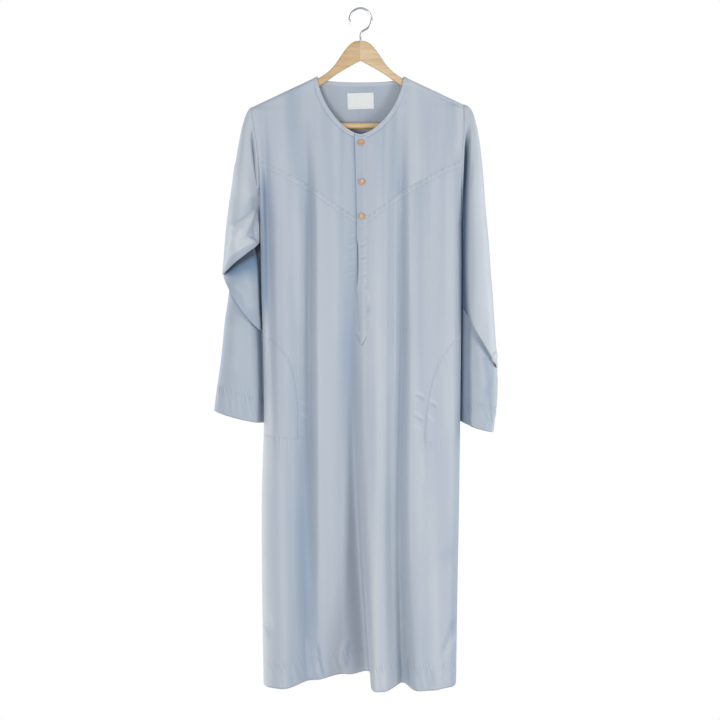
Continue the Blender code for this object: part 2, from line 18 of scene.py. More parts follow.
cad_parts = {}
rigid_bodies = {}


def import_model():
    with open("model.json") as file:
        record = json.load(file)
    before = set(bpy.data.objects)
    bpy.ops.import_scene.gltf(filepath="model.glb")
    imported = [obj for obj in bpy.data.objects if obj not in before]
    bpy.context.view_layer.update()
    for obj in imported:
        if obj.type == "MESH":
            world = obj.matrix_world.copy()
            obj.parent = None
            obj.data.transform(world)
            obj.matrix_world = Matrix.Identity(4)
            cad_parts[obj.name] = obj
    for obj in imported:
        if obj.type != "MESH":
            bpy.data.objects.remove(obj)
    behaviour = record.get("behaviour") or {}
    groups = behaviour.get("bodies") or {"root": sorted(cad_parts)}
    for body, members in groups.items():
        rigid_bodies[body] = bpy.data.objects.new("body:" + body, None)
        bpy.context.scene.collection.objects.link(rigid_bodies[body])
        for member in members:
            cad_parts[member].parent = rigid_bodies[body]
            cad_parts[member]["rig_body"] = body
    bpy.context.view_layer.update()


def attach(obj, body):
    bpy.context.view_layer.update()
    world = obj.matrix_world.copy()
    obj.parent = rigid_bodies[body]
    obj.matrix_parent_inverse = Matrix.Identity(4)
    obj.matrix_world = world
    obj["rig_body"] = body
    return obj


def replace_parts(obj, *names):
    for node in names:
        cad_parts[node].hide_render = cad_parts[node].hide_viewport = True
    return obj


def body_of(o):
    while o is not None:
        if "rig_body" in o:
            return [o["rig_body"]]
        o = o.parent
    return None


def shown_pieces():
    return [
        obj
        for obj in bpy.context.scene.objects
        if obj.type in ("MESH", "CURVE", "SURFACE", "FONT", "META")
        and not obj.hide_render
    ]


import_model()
MM = 0.001

# %% [markdown]
# ## The robe's form
# A hanging robe is a soft box: the shoulders lie over the hanger, the sides are rounded, and the cloth
# between them falls into upright folds that grow towards the hem. It could be draped by a simulation, but
# folds that come from a short table stay where they are wanted. So every panel is worked out from one
# function of a share of the body's width and a height.

# %% Sizes of shoulders, neck and body
NECK_HALF, NECK_TOP, SHOULDER_SLOPE = 87, -132, 0.46
RIDGE_HALF, RIDGE_DROP = 8, 8           # the cloth's rounding over the hanger
FRONT_NECK, BACK_NECK = -247, -143
FRONT_NECK_POWER, BACK_NECK_POWER = 1.6, 2.3
HEM, WAIST, ARMPIT = -1402, -680, -424
SIDE_POWER = 3.7                        # how square the body is in plan: 2 is an oval
ARMHOLE_BULGE = 16
SHOULDER_REACH = 25                     # over this drop the body reaches its full depth
SIDE_CALM = 0.06                        # share of the half width over which the folds end at the sides
WIDE_FOLD, HOLLOW_DEPTH = 50, 18        # wider folds are open to light and get no painted shade; a trough this deep gets the full painted shade
SHADE = 0.50                            # how dark the painted shade of a full hollow of the body is
CAVITY = 0.24                           # how much shade is painted for a millimetre of a groove, and how much light for one of a ridge
SEAM = 0.5                              # between the middles of two cloths at a seam
CLOTH = 0.5                             # thickness of the cloth that is shown
BAND = 8                                # width of the neckband
TURN_GAP = 1.0                          # between the cloth and its turn-up
FAR = 99                                # a distance at which a pucker has died out

# height, half width at -X, half width at +X, depth of the front, depth of the back
BODY = [
    (-132, 219, 207, 8, 8),
    (-200, 219, 208, 13, 12),
    (-240, 213, 208, 19, 16),
    (-280, 208, 205, 25, 20),
    (-360, 204, 205, 33, 28),
    (-440, 205, 207, 39, 35),
    (-560, 204, 208, 46, 41),
    (-680, 202, 208, 52, 47),
    (-800, 201, 208, 56, 53),
    (-1015, 208, 207.5, 63, 68),
    (-1200, 209, 206, 70, 82),
    (-1402, 208, 205, 78, 98),
]

# Each fold is a trough: centres and depths at the fold heights, widths to -X and to +X above the waist and
# at the hem, how far the hem leans over, and how strongly shade is painted on it (below nothing, painted
# light).
FOLD_HEIGHTS = (-200, -300, -440, -680, -1015, -1402)
FRONT_FOLDS = [
    ((-190, -188, -187, -184, -178, -180), (0, 2, 6, 5, 1.5, 4), (13, 13), (14, 14), 0, 1),
    ((-142, -142, -141, -141, -146, -147), (0.6, 1.6, 2.4, 3, 5, 4), (12, 12), (12, 12), 0, 1),
    ((-114, -110, -105, -106, -112, -116), (1, 9, 21, 26, 30, 36), (21, 11), (27, 30), 0,
     (0.8, 0.55, 0.85, 1, 1.55, 1.9)),
    ((-60, -60, -60, -60, -56, -40), (0, 0, 0, 3, 22, 98), (46, 60), (62, 36), 0, 1),
    ((-14, -14, -13, -16, -16, -16), (0.5, 4, 7, 4, 0, 0), (24, 24), (24, 24), 0, 1),
    ((-18, -18, -18, -24, -17, 0), (0, 0, 2, 16, 42, 86), (22, 20), (19, 15), 18, 0.85),
    ((63, 62, 62, 62, 60, 65), (3, 5, 7, 8, 9, 3), (8, 8), (10, 10), 0, 1),
    ((83, 82, 82, 84, 79, 90), (1, 9, 17, 23, 30, 52), (12, 12), (22, 17), 0, (1, 0.65, 0.9, 1, 1, 1.3)),
    ((118, 119, 119, 121, 139, 141), (0, 1.5, 2, 1.5, 2, 2), (10, 10), (10, 10), 0, 1),
    ((166, 164, 161, 157, 168, 178), (0, 3, 4, 4, 4, 5), (12, 12), (14, 14), 0, 1),
]
BACK_FOLDS = [
    ((-170, -168, -165, -160, -158, -160), (0, 3, 8, 12, 18, 26), (14, 14), (17, 17), 0, 1),
    ((-104, -102, -98, -94, -88, -84), (0, 4, 10, 17, 27, 42), (18, 18), (16, 16), -6, 1),
    ((-40, -38, -36, -34, -30, -26), (0, 2, 6, 9, 9, 8), (12, 12), (14, 14), 0, 1),
    ((38, 40, 43, 47, 52, 58), (0, 5, 11, 16, 25, 36), (16, 16), (20, 20), 7, 1),
    ((112, 112, 114, 118, 124, 128), (0, 4, 8, 12, 20, 34), (17, 17), (15, 15), 0, 1),
    ((172, 170, 168, 168, 170, 172), (0, 2, 5, 7, 9, 12), (11, 11), (12, 12), 0, 1),
]
# Narrow folds that only the thin cloth shows; a depth below nothing is a raised fold.
FRONT_SMALL = [
    ((-131, -131, -131, -130, -129, -133), (0.6, 0.7, 0.8, 0.8, 1, 1), (5, 4), (6, 5), 0, 0),
    ((-87, -88, -89, -88, -88, -90), (-0.7, -1.1, -1.6, -1.8, -2.2, -2), (7, 6), (8, 8), 0, 0),
    ((-40, -40, -40, -43, -44, -44), (2.4, 2.4, 1.4, 0.6, 0.9, 1), (7, 5), (8, 7), 0, 1.6),
    ((-31, -30, -28, -27, -28, -27), (-0.4, -0.5, -0.5, -0.6, -0.4, 0), (5, 5), (6, 6), 0, 0),
    ((15, 14, 13, 12, 10, 12), (0.4, 0.5, 0.5, 0.6, 0.4, 0), (5, 4), (6, 5), 0, 0),
    ((36, 36, 36, 36, 32, 31), (-0.5, -1.2, -2.2, -2.3, -2.3, -2), (12, 8), (10, 12), 0,
     (0, 0, -1, -1, -3, -6)),
    ((46, 45, 44, 44, 44, 44), (2.2, 1.8, 0.4, 0, 0, 0), (5, 5), (5, 5), 0, 1.6),
    ((76, 76, 75, 74, 76, 78), (-0.9, -1, -1.1, -0.9, -0.8, -0.8), (5, 4), (6, 5), 0, 0),
    ((104, 104, 104, 105, 108, 110), (0.6, 0.8, 0.9, 0.7, 0.6, 0.6), (5, 6), (6, 7), 0, 0),
    ((134, 134, 134, 135, 126, 128), (0.6, 0.7, 0.7, 0.9, 0.6, 0.6), (6, 6), (7, 7), 0, 0),
    ((148, 149, 150, 153, 146, 150), (0.4, 0.8, 1, 0.9, 0.8, 1), (5, 5), (6, 6), 0, 0),
    ((182, 181, 180, 181, 190, 186), (0, 0.6, 1, 1.2, 1, 1.2), (6, 6), (6, 6), 0, 0),
    ((-160, -161, -162, -163, -160, -166), (0.6, 0.8, 0.8, 0.8, 1, 1), (7, 7), (8, 8), 0, 0),
    ((-195, -193, -190, -184, -178, -178), (1, 5, 8, 4, 0, 0), (6, 8), (8, 8), 0, 0),
]
BACK_SMALL = [
    ((-139, -138, -136, -132, -128, -126), (0.3, 0.8, 1.2, 1.5, 1.6, 1.4), (7, 6), (8, 7), 0, 0),
    ((-72, -70, -69, -66, -60, -56), (0.3, 0.7, 1, 1.2, 1.5, 1.5), (6, 7), (7, 8), 0, 0),
    ((2, 3, 4, 6, 10, 14), (0.5, 1, 1.5, 2, 2.2, 2.4), (8, 8), (9, 9), 0, 0),
    ((77, 78, 80, 84, 90, 96), (0.3, 0.7, 1, 1.3, 1.6, 1.6), (7, 6), (8, 7), 0, 0),
    ((143, 143, 144, 146, 149, 152), (0.2, 0.5, 0.8, 1, 1.2, 1.2), (6, 6), (7, 7), 0, 0),
]
# x and height of the V seam between the yokes and the lower front
V_SEAM = [(0, -419), (11, -413), (65, -376), (94, -355), (142, -329), (170, -313), (205, -301)]
V_HALF = V_SEAM[-1][0]
print("front folds", len(FRONT_FOLDS) + len(FRONT_SMALL), "back folds", len(BACK_FOLDS) + len(BACK_SMALL))


# %% Read a table smoothly
def smooth_table(places, values, at):
    """Smooth curve through a table, with no overshoot between its rows; places rise."""
    places = np.asarray(places, float)
    values = np.asarray(values, float)
    step = np.diff(places)
    slope = np.diff(values) / step
    same = slope[:-1] * slope[1:] > 0
    first = 2 * step[1:] + step[:-1]
    second = step[1:] + 2 * step[:-1]
    safe = np.where(same, slope[:-1], 1), np.where(same, slope[1:], 1)
    inner = np.where(same, (first + second) / (first / safe[0] + second / safe[1]), 0)
    grade = np.concatenate(([slope[0]], inner, [slope[-1]]))
    at = np.clip(at, places[0], places[-1])
    cell = np.clip(np.searchsorted(places, at) - 1, 0, len(step) - 1)
    t = (at - places[cell]) / step[cell]
    width = step[cell]
    return ((1 + 2 * t) * (1 - t) ** 2 * values[cell] + t * (1 - t) ** 2 * width * grade[cell]
            + t * t * (3 - 2 * t) * values[cell + 1] + t * t * (t - 1) * width * grade[cell + 1])


def at_height(rows, z, column=1):
    """Smooth value at a height, from a column of rows that start with their height, downwards."""
    return smooth_table([-row[0] for row in rows], [row[column] for row in rows], -z)


def at_place(rows, place, column=1):
    """Smooth value at a place, from a column of rows that start with their place, upwards."""
    return smooth_table([row[0] for row in rows], [row[column] for row in rows], place)


def bell(value, width):
    """1 at 0, smoothly down to 0 on both sides."""
    return np.exp(-(value / width) ** 2)


def fade(value, start, end):
    """0 before start, 1 after end, smooth between."""
    t = np.clip((value - start) / (end - start), 0, 1)
    return t * t * (3 - 2 * t)


print("half width at the waist", float(at_height(BODY, np.array([WAIST]), 2)[0]))


# %% The body's surface
def shoulder(x):
    return NECK_TOP - SHOULDER_SLOPE * (np.abs(x) - NECK_HALF)


def v_seam(x):
    return at_place(V_SEAM, np.abs(x))


def neck_edge(share, margin, back):
    """x and z of the neckline moved out by a margin; share runs from -1 to 1."""
    half = NECK_HALF + margin
    top = shoulder(half)
    low = (BACK_NECK if back else FRONT_NECK) - margin
    power = BACK_NECK_POWER if back else FRONT_NECK_POWER
    fall = (1 - np.minimum(1, np.abs(share)) ** power) ** (1 / power)
    return share * half, top - (top - low) * fall


def half_width(z, side):
    return np.where(side < 0, at_height(BODY, z, 1), at_height(BODY, z, 2))


def ridge(drop):
    inside = np.clip(1 - drop / RIDGE_DROP, 0, 1)
    return SEAM / 2 + RIDGE_HALF * np.sqrt(1 - inside ** 2)


def armhole(z, half):
    top = shoulder(half)
    share = np.clip((top - z) / (top - ARMPIT), 0, 1)
    return (ridge(top - z) + ARMHOLE_BULGE * np.sin(math.pi * share ** 0.9)) * np.sqrt(1 - share ** 8)


def troughs(folds, x, z):
    """At each point: depth of all troughs, how far they push it sideways, and how much shade is painted on it
    for lying in them.
    """
    depth_sum, push, hollow = np.zeros((3, *x.shape))
    places = [-value for value in FOLD_HEIGHTS]
    low = np.clip((WAIST - z) / (WAIST - HEM), 0, 1)
    for centres, depths, widths_low, widths_high, lean, shade in folds:
        centre = smooth_table(places, centres, -z)
        depth = smooth_table(places, depths, -z)
        wide = [first + (last - first) * low for first, last in zip(widths_low, widths_high)]
        swell = bell(x - centre, np.where(x < centre, *wide))
        depth_sum += depth * swell
        push += lean * low * swell
        if widths_high[0] < WIDE_FOLD:
            shown = smooth_table(places, shade, -z) if np.ndim(shade) else shade
            # A fold that leans over is open to light on that side, and a fold that is deep for its width
            # makes its own shade, so less shade is painted on them.
            edge = np.where((x > centre) & (lean > 0), 2.4, 1.2)
            slim = sum(widths_low) / 2
            hollow += (shown * swell ** edge * np.clip(np.abs(depth) / HOLLOW_DEPTH, 0, 1)
                       * np.clip(1.25 - np.abs(depth) / slim / 3, 0.3, 1))
    return depth_sum, push, np.clip(hollow, -0.5, 1)


def body(share, z, back, relief=None):
    """Points of the body's cloth; relief(x, z) raises it outwards."""
    share, z = np.broadcast_arrays(np.asarray(share, float), np.asarray(z, float))
    half = half_width(z, share)
    x = share * half
    drop = np.maximum(0, shoulder(x) - z)
    near = 1 - np.exp(-drop / SHOULDER_REACH)
    depth = ridge(drop) + (at_height(BODY, z, 4 if back else 3) - RIDGE_HALF) * near
    edge = np.where(z > ARMPIT, armhole(z, half), 0)
    rounding = np.maximum(0, 1 - np.abs(share) ** SIDE_POWER) ** (1 / SIDE_POWER)
    trough, push, _ = troughs(BACK_FOLDS if back else FRONT_FOLDS, x, z)
    small, _, _ = troughs(BACK_SMALL if back else FRONT_SMALL, x, z)
    side = np.clip((1 - np.abs(share)) / SIDE_CALM, 0, 1)
    calm = side * near
    y = edge + (depth - edge) * rounding - (trough + small) * calm
    y += np.where(z <= ARMPIT, SEAM / 2 * (1 - rounding), 0)
    if relief is not None:
        y += relief(x, z) * np.clip(side * 3, 0, 1) * fade(drop, 0, 6)
    return np.stack([x + push * calm, y if back else -y, z], -1)


print("front at the hem's middle", body(0, HEM, False).round(1))

# %% [markdown]
# ## What sewing does to cloth
# A row of stitches draws cloth together, so it puckers in small uneven waves that die out a few
# millimetres away. A pressed crease is a low ridge along a line. Bump in a material could draw both, but then
# they would vanish at the edges and in the mesh, so both move the points themselves.

# %% Puckers, creases and unevenness
def waves(along, wave, seed):
    """Uneven waves about 1 high: three near lengths with set phases, swelling and fading."""
    turn = 2 * math.pi * along / wave
    swell = 0.55 + 0.45 * np.sin(along / wave * 0.83 + seed * 1.7) * np.sin(along / wave * 0.31 + seed)
    return swell * (0.6 * np.sin(turn + seed) + 0.3 * np.sin(turn * 1.37 + seed * 2.3)
                    + 0.25 * np.sin(turn * 0.61 + seed * 3.1))


def line_place(x, z, points):
    """Distance off a line of points, the sign of the side, distance along it, and share of its length."""
    points = np.asarray(points, float)
    best = np.full(x.shape, 1e9)
    side, along, share = np.zeros((3, *x.shape))
    steps = np.linalg.norm(np.diff(points, axis=0), axis=1)
    total = steps.sum()
    start = 0.0
    for a, b, step in zip(points[:-1], points[1:], steps):
        run = (b - a) / step
        t = np.clip((x - a[0]) * run[0] + (z - a[1]) * run[1], 0, step)
        off_x, off_z = x - a[0] - run[0] * t, z - a[1] - run[1] * t
        off = np.hypot(off_x, off_z)
        nearer = off < best
        best = np.where(nearer, off, best)
        side = np.where(nearer, np.sign(run[0] * off_z - run[1] * off_x), side)
        along = np.where(nearer, start + t, along)
        share = np.where(nearer, (start + t) / total, share)
        start += step
    return best, side, along, share


def crease(x, z, points, height, width, other=None, ends=0.25):
    """Raised line, height at its middle; width to one side and other to the other side of its run."""
    off, side, _, share = line_place(x, z, points)
    wide = np.where(side > 0, width, width if other is None else other)
    taper = fade(share, 0, ends) * fade(1 - share, 0, ends) if ends else 1
    return height * bell(off, wide) * taper


def pucker(x, z, points, height, wave, reach, seed, groove=0.0, narrow=0.9):
    """Waves along a seam line that fade with distance off it, and a groove right on it."""
    off, side, along, _ = line_place(x, z, points)
    slant = along + off * side * 0.35
    held = 1 - 0.55 * bell(off, reach * 0.28)
    return height * waves(slant, wave, seed) * bell(off, reach) * held - groove * bell(off, narrow)


def crumpled(x, z, spots, folds):
    """Flat facets through spots (x, z, height); folds are the pairs of spots that a crease joins."""
    flat = [Vector(spot[:2]) for spot in spots]
    corners, _, faces, came_from, _, _ = delaunay_2d_cdt(flat, folds, [], 0, 1e-4)
    heights = [spots[origin[0]][2] for origin in came_from]
    total = np.zeros_like(x)
    for face in faces:
        (ax, az), (bx, bz), (cx, cz) = [corners[index] for index in face]
        whole = (bx - ax) * (cz - az) - (cx - ax) * (bz - az)
        second = ((x - ax) * (cz - az) - (cx - ax) * (z - az)) / whole
        third = ((bx - ax) * (z - az) - (x - ax) * (bz - az)) / whole
        inside = (second >= 0) & (third >= 0) & (second + third <= 1)
        value = heights[face[0]] * (1 - second - third) + heights[face[1]] * second + heights[face[2]] * third
        total = np.where(inside, value, total)
    return total


def stroke_puckers(along, above, height, seed):
    """Short slanting puckers across a row of stitching; above is the height over the row."""
    lean = along + above * 0.35
    reach = np.where(above > 0, 9, 13)
    return (height * waves(lean, 6.2, seed) * bell(above, reach)
            - 0.4 * bell(above, 1.5) + 0.5 * waves(along + above * 0.2, 17, seed + 2)
            * fade(-above, -6, 16) * fade(above, -48, -38))


def uneven(x, z, wide, tall, seed):
    """Soft unevenness about 1 high, longer downwards."""
    total = 0
    for step in range(5):
        lean = math.sin(seed * 5.1 + step * 2.4) * 0.4
        total += math.cos(seed + step) * np.sin(
            x / wide * (0.7 + 0.31 * step) + z / tall * (0.6 + 0.4 * math.sin(seed + step * 1.9))
            + lean * z / tall + seed * 3 + step * 1.3)
    return total / 2.2


print("a pucker 3 mm along", float(waves(np.array([3.0]), 6, 1)[0]))

# %% [markdown]
# ## From points to cloth
# A panel is a grid of points. Each gets a UV place in metres along its threads, so that a weave keeps its
# scale on any fold. Solidify then gives the cloth its thickness.

# %% Make a cloth mesh
def grid_normals(points):
    """Unit normals of a grid of points, out of the robe, from its differences along rows and columns."""
    normal = np.cross(np.gradient(points, axis=0), np.gradient(points, axis=1))
    return normal / np.maximum(np.linalg.norm(normal, axis=-1, keepdims=True), 1e-9)


def closed_rings(points):
    """A grid with its last column again in front of the first one, and the first one again at the end."""
    return np.concatenate([points[:, -1:], points, points[:, :1]], 1)


def ring_normals(points):
    return grid_normals(closed_rings(points))[:, 1:-1]


def running_length(points, axis=0):
    """Distance from the start, along a line of points or along one direction of a grid."""
    steps = np.linalg.norm(np.diff(points, axis=axis), axis=-1)
    pad = [(1, 0) if a == axis else (0, 0) for a in range(steps.ndim)]
    return np.cumsum(np.pad(steps, pad), axis)


def linked(name, data):
    """A new object in the scene."""
    made = bpy.data.objects.new(name, data)
    bpy.context.scene.collection.objects.link(made)
    return made


def cloth_mesh(name, points, finish, thick=CLOTH, closed=False, cut=None, hollow=None):
    """Cloth from a grid of points [row][column] in millimetres; cut marks the cells left out."""
    rows, columns = points.shape[:2]
    across = running_length(points, 1)
    across = across - across[:, columns // 2][:, None]
    wide = columns if closed else columns - 1
    r, c = np.meshgrid(np.arange(rows - 1), np.arange(wide), indexing="ij")
    if cut is not None:
        keep = ~cut[:rows - 1, :wide]
        r, c = r[keep], c[keep]
    r, c = r.ravel(), c.ravel()
    after = (c + 1) % columns
    corners = np.stack([r * columns + c, (r + 1) * columns + c,
                        (r + 1) * columns + after, r * columns + after], 1)
    uv = np.stack([across.ravel()[corners], -running_length(points).ravel()[corners]], -1)
    if closed:
        girth = across[:, -1] + np.linalg.norm(points[:, 0] - points[:, -1], axis=1)
        for corner, row in ((2, r + 1), (3, r)):
            uv[:, corner, 0] = np.where(after == 0, girth[row], uv[:, corner, 0])
    used, place = np.unique(corners, return_inverse=True)
    mesh = bpy.data.meshes.new(name)
    mesh.vertices.add(len(used))
    mesh.vertices.foreach_set("co", (points.reshape(-1, 3)[used] * MM).ravel())
    mesh.loops.add(corners.size)
    mesh.loops.foreach_set("vertex_index", place.ravel())
    mesh.polygons.add(len(corners))
    mesh.polygons.foreach_set("loop_start", np.arange(0, corners.size, 4))
    mesh.polygons.foreach_set("loop_total", np.full(len(corners), 4))
    mesh.update(calc_edges=True)
    mesh.uv_layers.new(name="threads")
    mesh.uv_layers["threads"].data.foreach_set("uv", uv.ravel() * MM)
    # The painted light and shade go into an attribute that the cloth's finish reads.
    if hollow is not None:
        mesh.attributes.new("hollow", "FLOAT", "POINT")
        mesh.attributes["hollow"].data.foreach_set("value", hollow.ravel()[used].astype(np.float32))
    mesh.validate()
    mesh.shade_smooth()
    mesh.materials.append(finish)
    made = linked(name, mesh)
    wall = made.modifiers.new("cloth wall", "SOLIDIFY")
    wall.thickness = thick * MM
    wall.offset = 0
    return made


# Height and x of the edge of the placket that stands free over the slit.
PLACKET_LEFT = [(-249, -12), (-330, -9.4), (-418, -7.2), (-455, -6.9), (-470, -4.2), (-500, -3.6),
                (-540, -4.2), (-556, -6.2), (-610, -3.2), (-648, -0.4), (-664, 0.6)]
# Painted light and shade on the front's side edges, lighter where light meets them and darker where they turn
# away from it: side, how dark (below nothing, painted light), from and to which distance inwards, from and to
# which depth below the origin.
EDGE_SHADES = [(-1, -0.45, 26, 6, 740, 860), (1, 0.18, 22, 8, 250, 330), (1, 0.3, 17, 5, 760, 860),
               (1, -0.3, 22, 8, 340, 250)]


def painted_body_shading(points, back, relief):
    """Painted shade on each point of a body panel from its folds and small relief, and painted light below
    nothing.
    """
    x, z = points[..., 0], points[..., 2]
    folds = SHADE * troughs(BACK_FOLDS if back else FRONT_FOLDS + FRONT_SMALL, x, z)[2]
    if not back:
        # Painted shade along a groove beside the sleeve on the viewer's left, then painted light and shade on
        # the side edges.
        inward = half_width(z, x) - np.abs(x)
        folds += 0.75 * bell(inward - 9, 5.5) * fade(-z, 290, 370) * fade(z, -650, -560) * (x < 0)
        for side, dark, inner, outer, start, end in EDGE_SHADES:
            folds += dark * fade(inward, inner, outer) * fade(-z, start, end) * (side * x > 0)
        # Painted shade: the chest a little darker, most on the left, and a painted shadow beside the slit's
        # standing edge.
        folds += (0.045 + 0.045 * fade(-x, -90, 60)) * fade(z, -480, -330)
        beside = at_height(PLACKET_LEFT, z) - x
        folds += 0.42 * bell(beside, 4.5) * (beside > 0) * fade(z, -560, -540)
    # Grooves of the relief get painted shade and its ridges painted light.
    return np.clip(folds - CAVITY * np.clip(relief(x, z), -1.3, 0.6), -0.5, 1.2)


def tell(made):
    """Print how many faces a piece has, and their area."""
    faces = made.data.polygons
    print(made.name, len(faces), "faces", round(sum(face.area for face in faces), 4), "m2")


def turned_up(points, first, drawn):
    """Rows of a hem turned up inside: the outer rows from the edge back to the row first, moved in."""
    last = len(points) - 1
    rows = np.arange(last - 1, first - 1, -1)
    gap = TURN_GAP * np.minimum(1, (last - rows) / (last - first) * 8)
    moved_in = gap[:, None, None] + np.broadcast_to(drawn, points.shape[:2])[rows][..., None]
    return np.concatenate([points, points[rows] - grid_normals(points)[rows] * moved_in])


# %% Make a closed tube from rings
def tube_mesh(name, rings, finish):
    """Closed solid through rings of points in millimetres, with flat ends."""
    mesh = bmesh.new()
    made = [[mesh.verts.new(point * MM) for point in ring] for ring in rings]
    uv = mesh.loops.layers.uv.new("threads")
    run = running_length(rings.mean(1)) * MM
    girth = np.linalg.norm(rings[0] - np.roll(rings[0], 1, 0), axis=1).sum() * MM
    sides = len(rings[0])
    for row, (low, high) in enumerate(zip(made, made[1:])):
        for step in range(sides):
            after = (step + 1) % sides
            face = mesh.faces.new((low[step], low[after], high[after], high[step]))
            for loop, u, v in zip(face.loops, (step, step + 1, step + 1, step), (row, row, row + 1, row + 1)):
                loop[uv].uv = (u / sides * girth, run[v])
    mesh.faces.new(made[0])
    mesh.faces.new(made[-1])
    bmesh.ops.recalc_face_normals(mesh, faces=mesh.faces)
    return finish_mesh(name, mesh, finish, 50)


def finish_mesh(name, mesh, finish, sharp):
    """Turn a bmesh into an object at the origin, smooth up to an angle."""
    data = bpy.data.meshes.new(name)
    mesh.to_mesh(data)
    mesh.free()
    data.shade_smooth()
    data.set_sharp_from_angle(angle=math.radians(sharp))
    data.materials.append(finish)
    return linked(name, data)


# %% Set points close where there is more to show
def spaced(start, *parts):
    """Numbers from start on through parts (end, count), each without its end, and the last end."""
    pieces = []
    for end, count in parts:
        pieces.append(np.linspace(start, end, count, endpoint=False))
        start = end
    return np.concatenate(pieces + [[start]])


def rounded(values, power):
    """Sines or cosines of a circle, drawn out towards a square by a power below 1."""
    return np.sign(values) * np.abs(values) ** power


def circle(count):
    """Angles once round, without the last one."""
    return np.linspace(0, 2 * math.pi, count, endpoint=False)


print("helpers ready")

# %% [markdown]
# ## The cloth's finish
# The robe is a fine cotton with a satin face: matt at first sight, with a soft shine along the folds. Its
# threads are 0.4 mm apart, some thicker than others, which shows as faint streaks down the cloth. The
# weave follows the UV places in metres, so it turns with every fold.

# %% Node helpers and the cloth finish
def new_finish(name, **sockets):
    made = bpy.data.materials.new(name)
    made.use_nodes = True
    shader = made.node_tree.nodes["Principled BSDF"]
    for socket, value in sockets.items():
        shader.inputs[socket.replace("_", " ")].default_value = value
    return made, made.node_tree, shader


def node(tree, kind, inputs=(), **settings):
    """A new node; an input is given a value, an output to link, or a node whose first output is linked."""
    made = tree.nodes.new(kind)
    for key, value in settings.items():
        setattr(made, key, value)
    for key, value in dict(inputs).items():
        if isinstance(value, bpy.types.Node):
            value = value.outputs[0]
        if isinstance(value, bpy.types.NodeSocket):
            tree.links.new(value, made.inputs[key])
        else:
            made.inputs[key].default_value = value
    return made


def maths(tree, operation, *values):
    return node(tree, "ShaderNodeMath", enumerate(values), operation=operation)


def mixed(tree, factor, first, second, **settings):
    """The colour between two, which are colours or outputs."""
    pair = [(*tone, 1) if isinstance(tone, tuple) else tone for tone in (first, second)]
    inputs = {"Factor": factor, "A": pair[0], "B": pair[1]}
    return node(tree, "ShaderNodeMix", inputs, data_type="RGBA", **settings).outputs["Result"]


def noise(tree, place, scale, detail=2):
    return node(tree, "ShaderNodeTexNoise", {"Vector": place, "Scale": scale, "Detail": detail})


def wear(tree, shader, colour, height, strength, distance):
    """Give a surface its colour and, from a height, its fine relief."""
    tree.links.new(colour, shader.inputs["Base Color"])
    bump = node(tree, "ShaderNodeBump", {"Strength": strength, "Distance": distance, "Height": height})
    tree.links.new(bump.outputs[0], shader.inputs["Normal"])


def plain_finish(name, light, deep, scale, **sockets):
    """Two close tones, clouded; scale is how many clouds there are in a metre."""
    made, tree, shader = new_finish(name, **sockets)
    cloud = noise(tree, node(tree, "ShaderNodeTexCoord").outputs["Object"], scale)
    tree.links.new(mixed(tree, cloud, light, deep), shader.inputs["Base Color"])
    return made


def cloth_finish(name, light, deep, hollow=(0.33, 0.475, 0.655), thread=0.42, sheen=0.6, roughness=0.62):
    """Woven cloth; light and deep are the two tones that its threads mix, hollow is the colour of the shade
    painted into the folds.
    """
    made, tree, shader = new_finish(name, Roughness=roughness, Sheen_Weight=sheen, Sheen_Roughness=0.45,
                                    Sheen_Tint=(0.86, 0.92, 1.0, 1), Specular_IOR_Level=0.32)
    uv = node(tree, "ShaderNodeUVMap", uv_map="threads")
    # Streaks along the threads and soft clouds mix the two tones.
    streak = noise(tree, node(tree, "ShaderNodeMapping", {0: uv, "Scale": (330, 7, 1)}), 1, 3)
    blend = maths(tree, "MULTIPLY_ADD", noise(tree, uv, 9), 0.45, maths(tree, "MULTIPLY", streak, 0.55))
    tone = node(tree, "ShaderNodeMapRange", {0: blend, "From Min": 0.22, "From Max": 0.78})
    plain = mixed(tree, tone, light, deep)
    # The attribute paints shade into the colour up to 1, painted shade beyond 1 goes on to near black, and
    # below nothing it paints light.
    place = node(tree, "ShaderNodeAttribute", attribute_name="hollow").outputs["Fac"]
    shaded = mixed(tree, maths(tree, "MINIMUM", place, 1.0), plain, hollow, blend_type="MULTIPLY",
                   clamp_factor=False)
    deepest = mixed(tree, maths(tree, "SUBTRACT", place, 1.0), shaded, (0.035, 0.045, 0.065))
    # Warp and weft.
    scaled = node(tree, "ShaderNodeMapping", {0: uv, "Scale": (1000 / thread,) * 3})
    warp, weft = [node(tree, "ShaderNodeTexWave", {0: scaled, "Scale": 0.5}, bands_direction=way).outputs[1]
                  for way in "XY"]
    raised = maths(tree, "MULTIPLY_ADD", maths(tree, "MAXIMUM", warp, weft), 0.35, streak)
    wear(tree, shader, deepest, raised, 0.35, 0.00025)
    return made


CLOTH_LIGHT = (0.501, 0.534, 0.579)
CLOTH_DEEP = (0.453, 0.492, 0.547)
robe_cloth = cloth_finish("robe cloth", CLOTH_LIGHT, CLOTH_DEEP)
print("finish", robe_cloth.name, len(robe_cloth.node_tree.nodes), "nodes")

# %% [markdown]
# ## The lower front
# One panel from the V seam to the hem, with a slit down its middle under the placket. Its rows lie close at
# the V seam and at the hem, where the stitching draws it, and its hem is turned up inside.

# %% The lower front
HEM_STITCH = -1353
POCKETS = {
    -1: [(-189, -658), (-173, -672), (-153, -693), (-142, -719), (-136, -744), (-131, -780), (-129, -813),
         (-130, -853), (-131, -868)],
    1: [(203, -650), (187, -672), (173, -691), (159, -715), (149, -742), (141, -778), (135, -821),
        (132, -865), (132, -874)],
}
POCKET_FOOT = {-1: [(-131, -868), (-199, -862)], 1: [(132, -874), (203, -871)]}
V_LINE = [(-x, z) for x, z in reversed(V_SEAM)] + V_SEAM[1:]

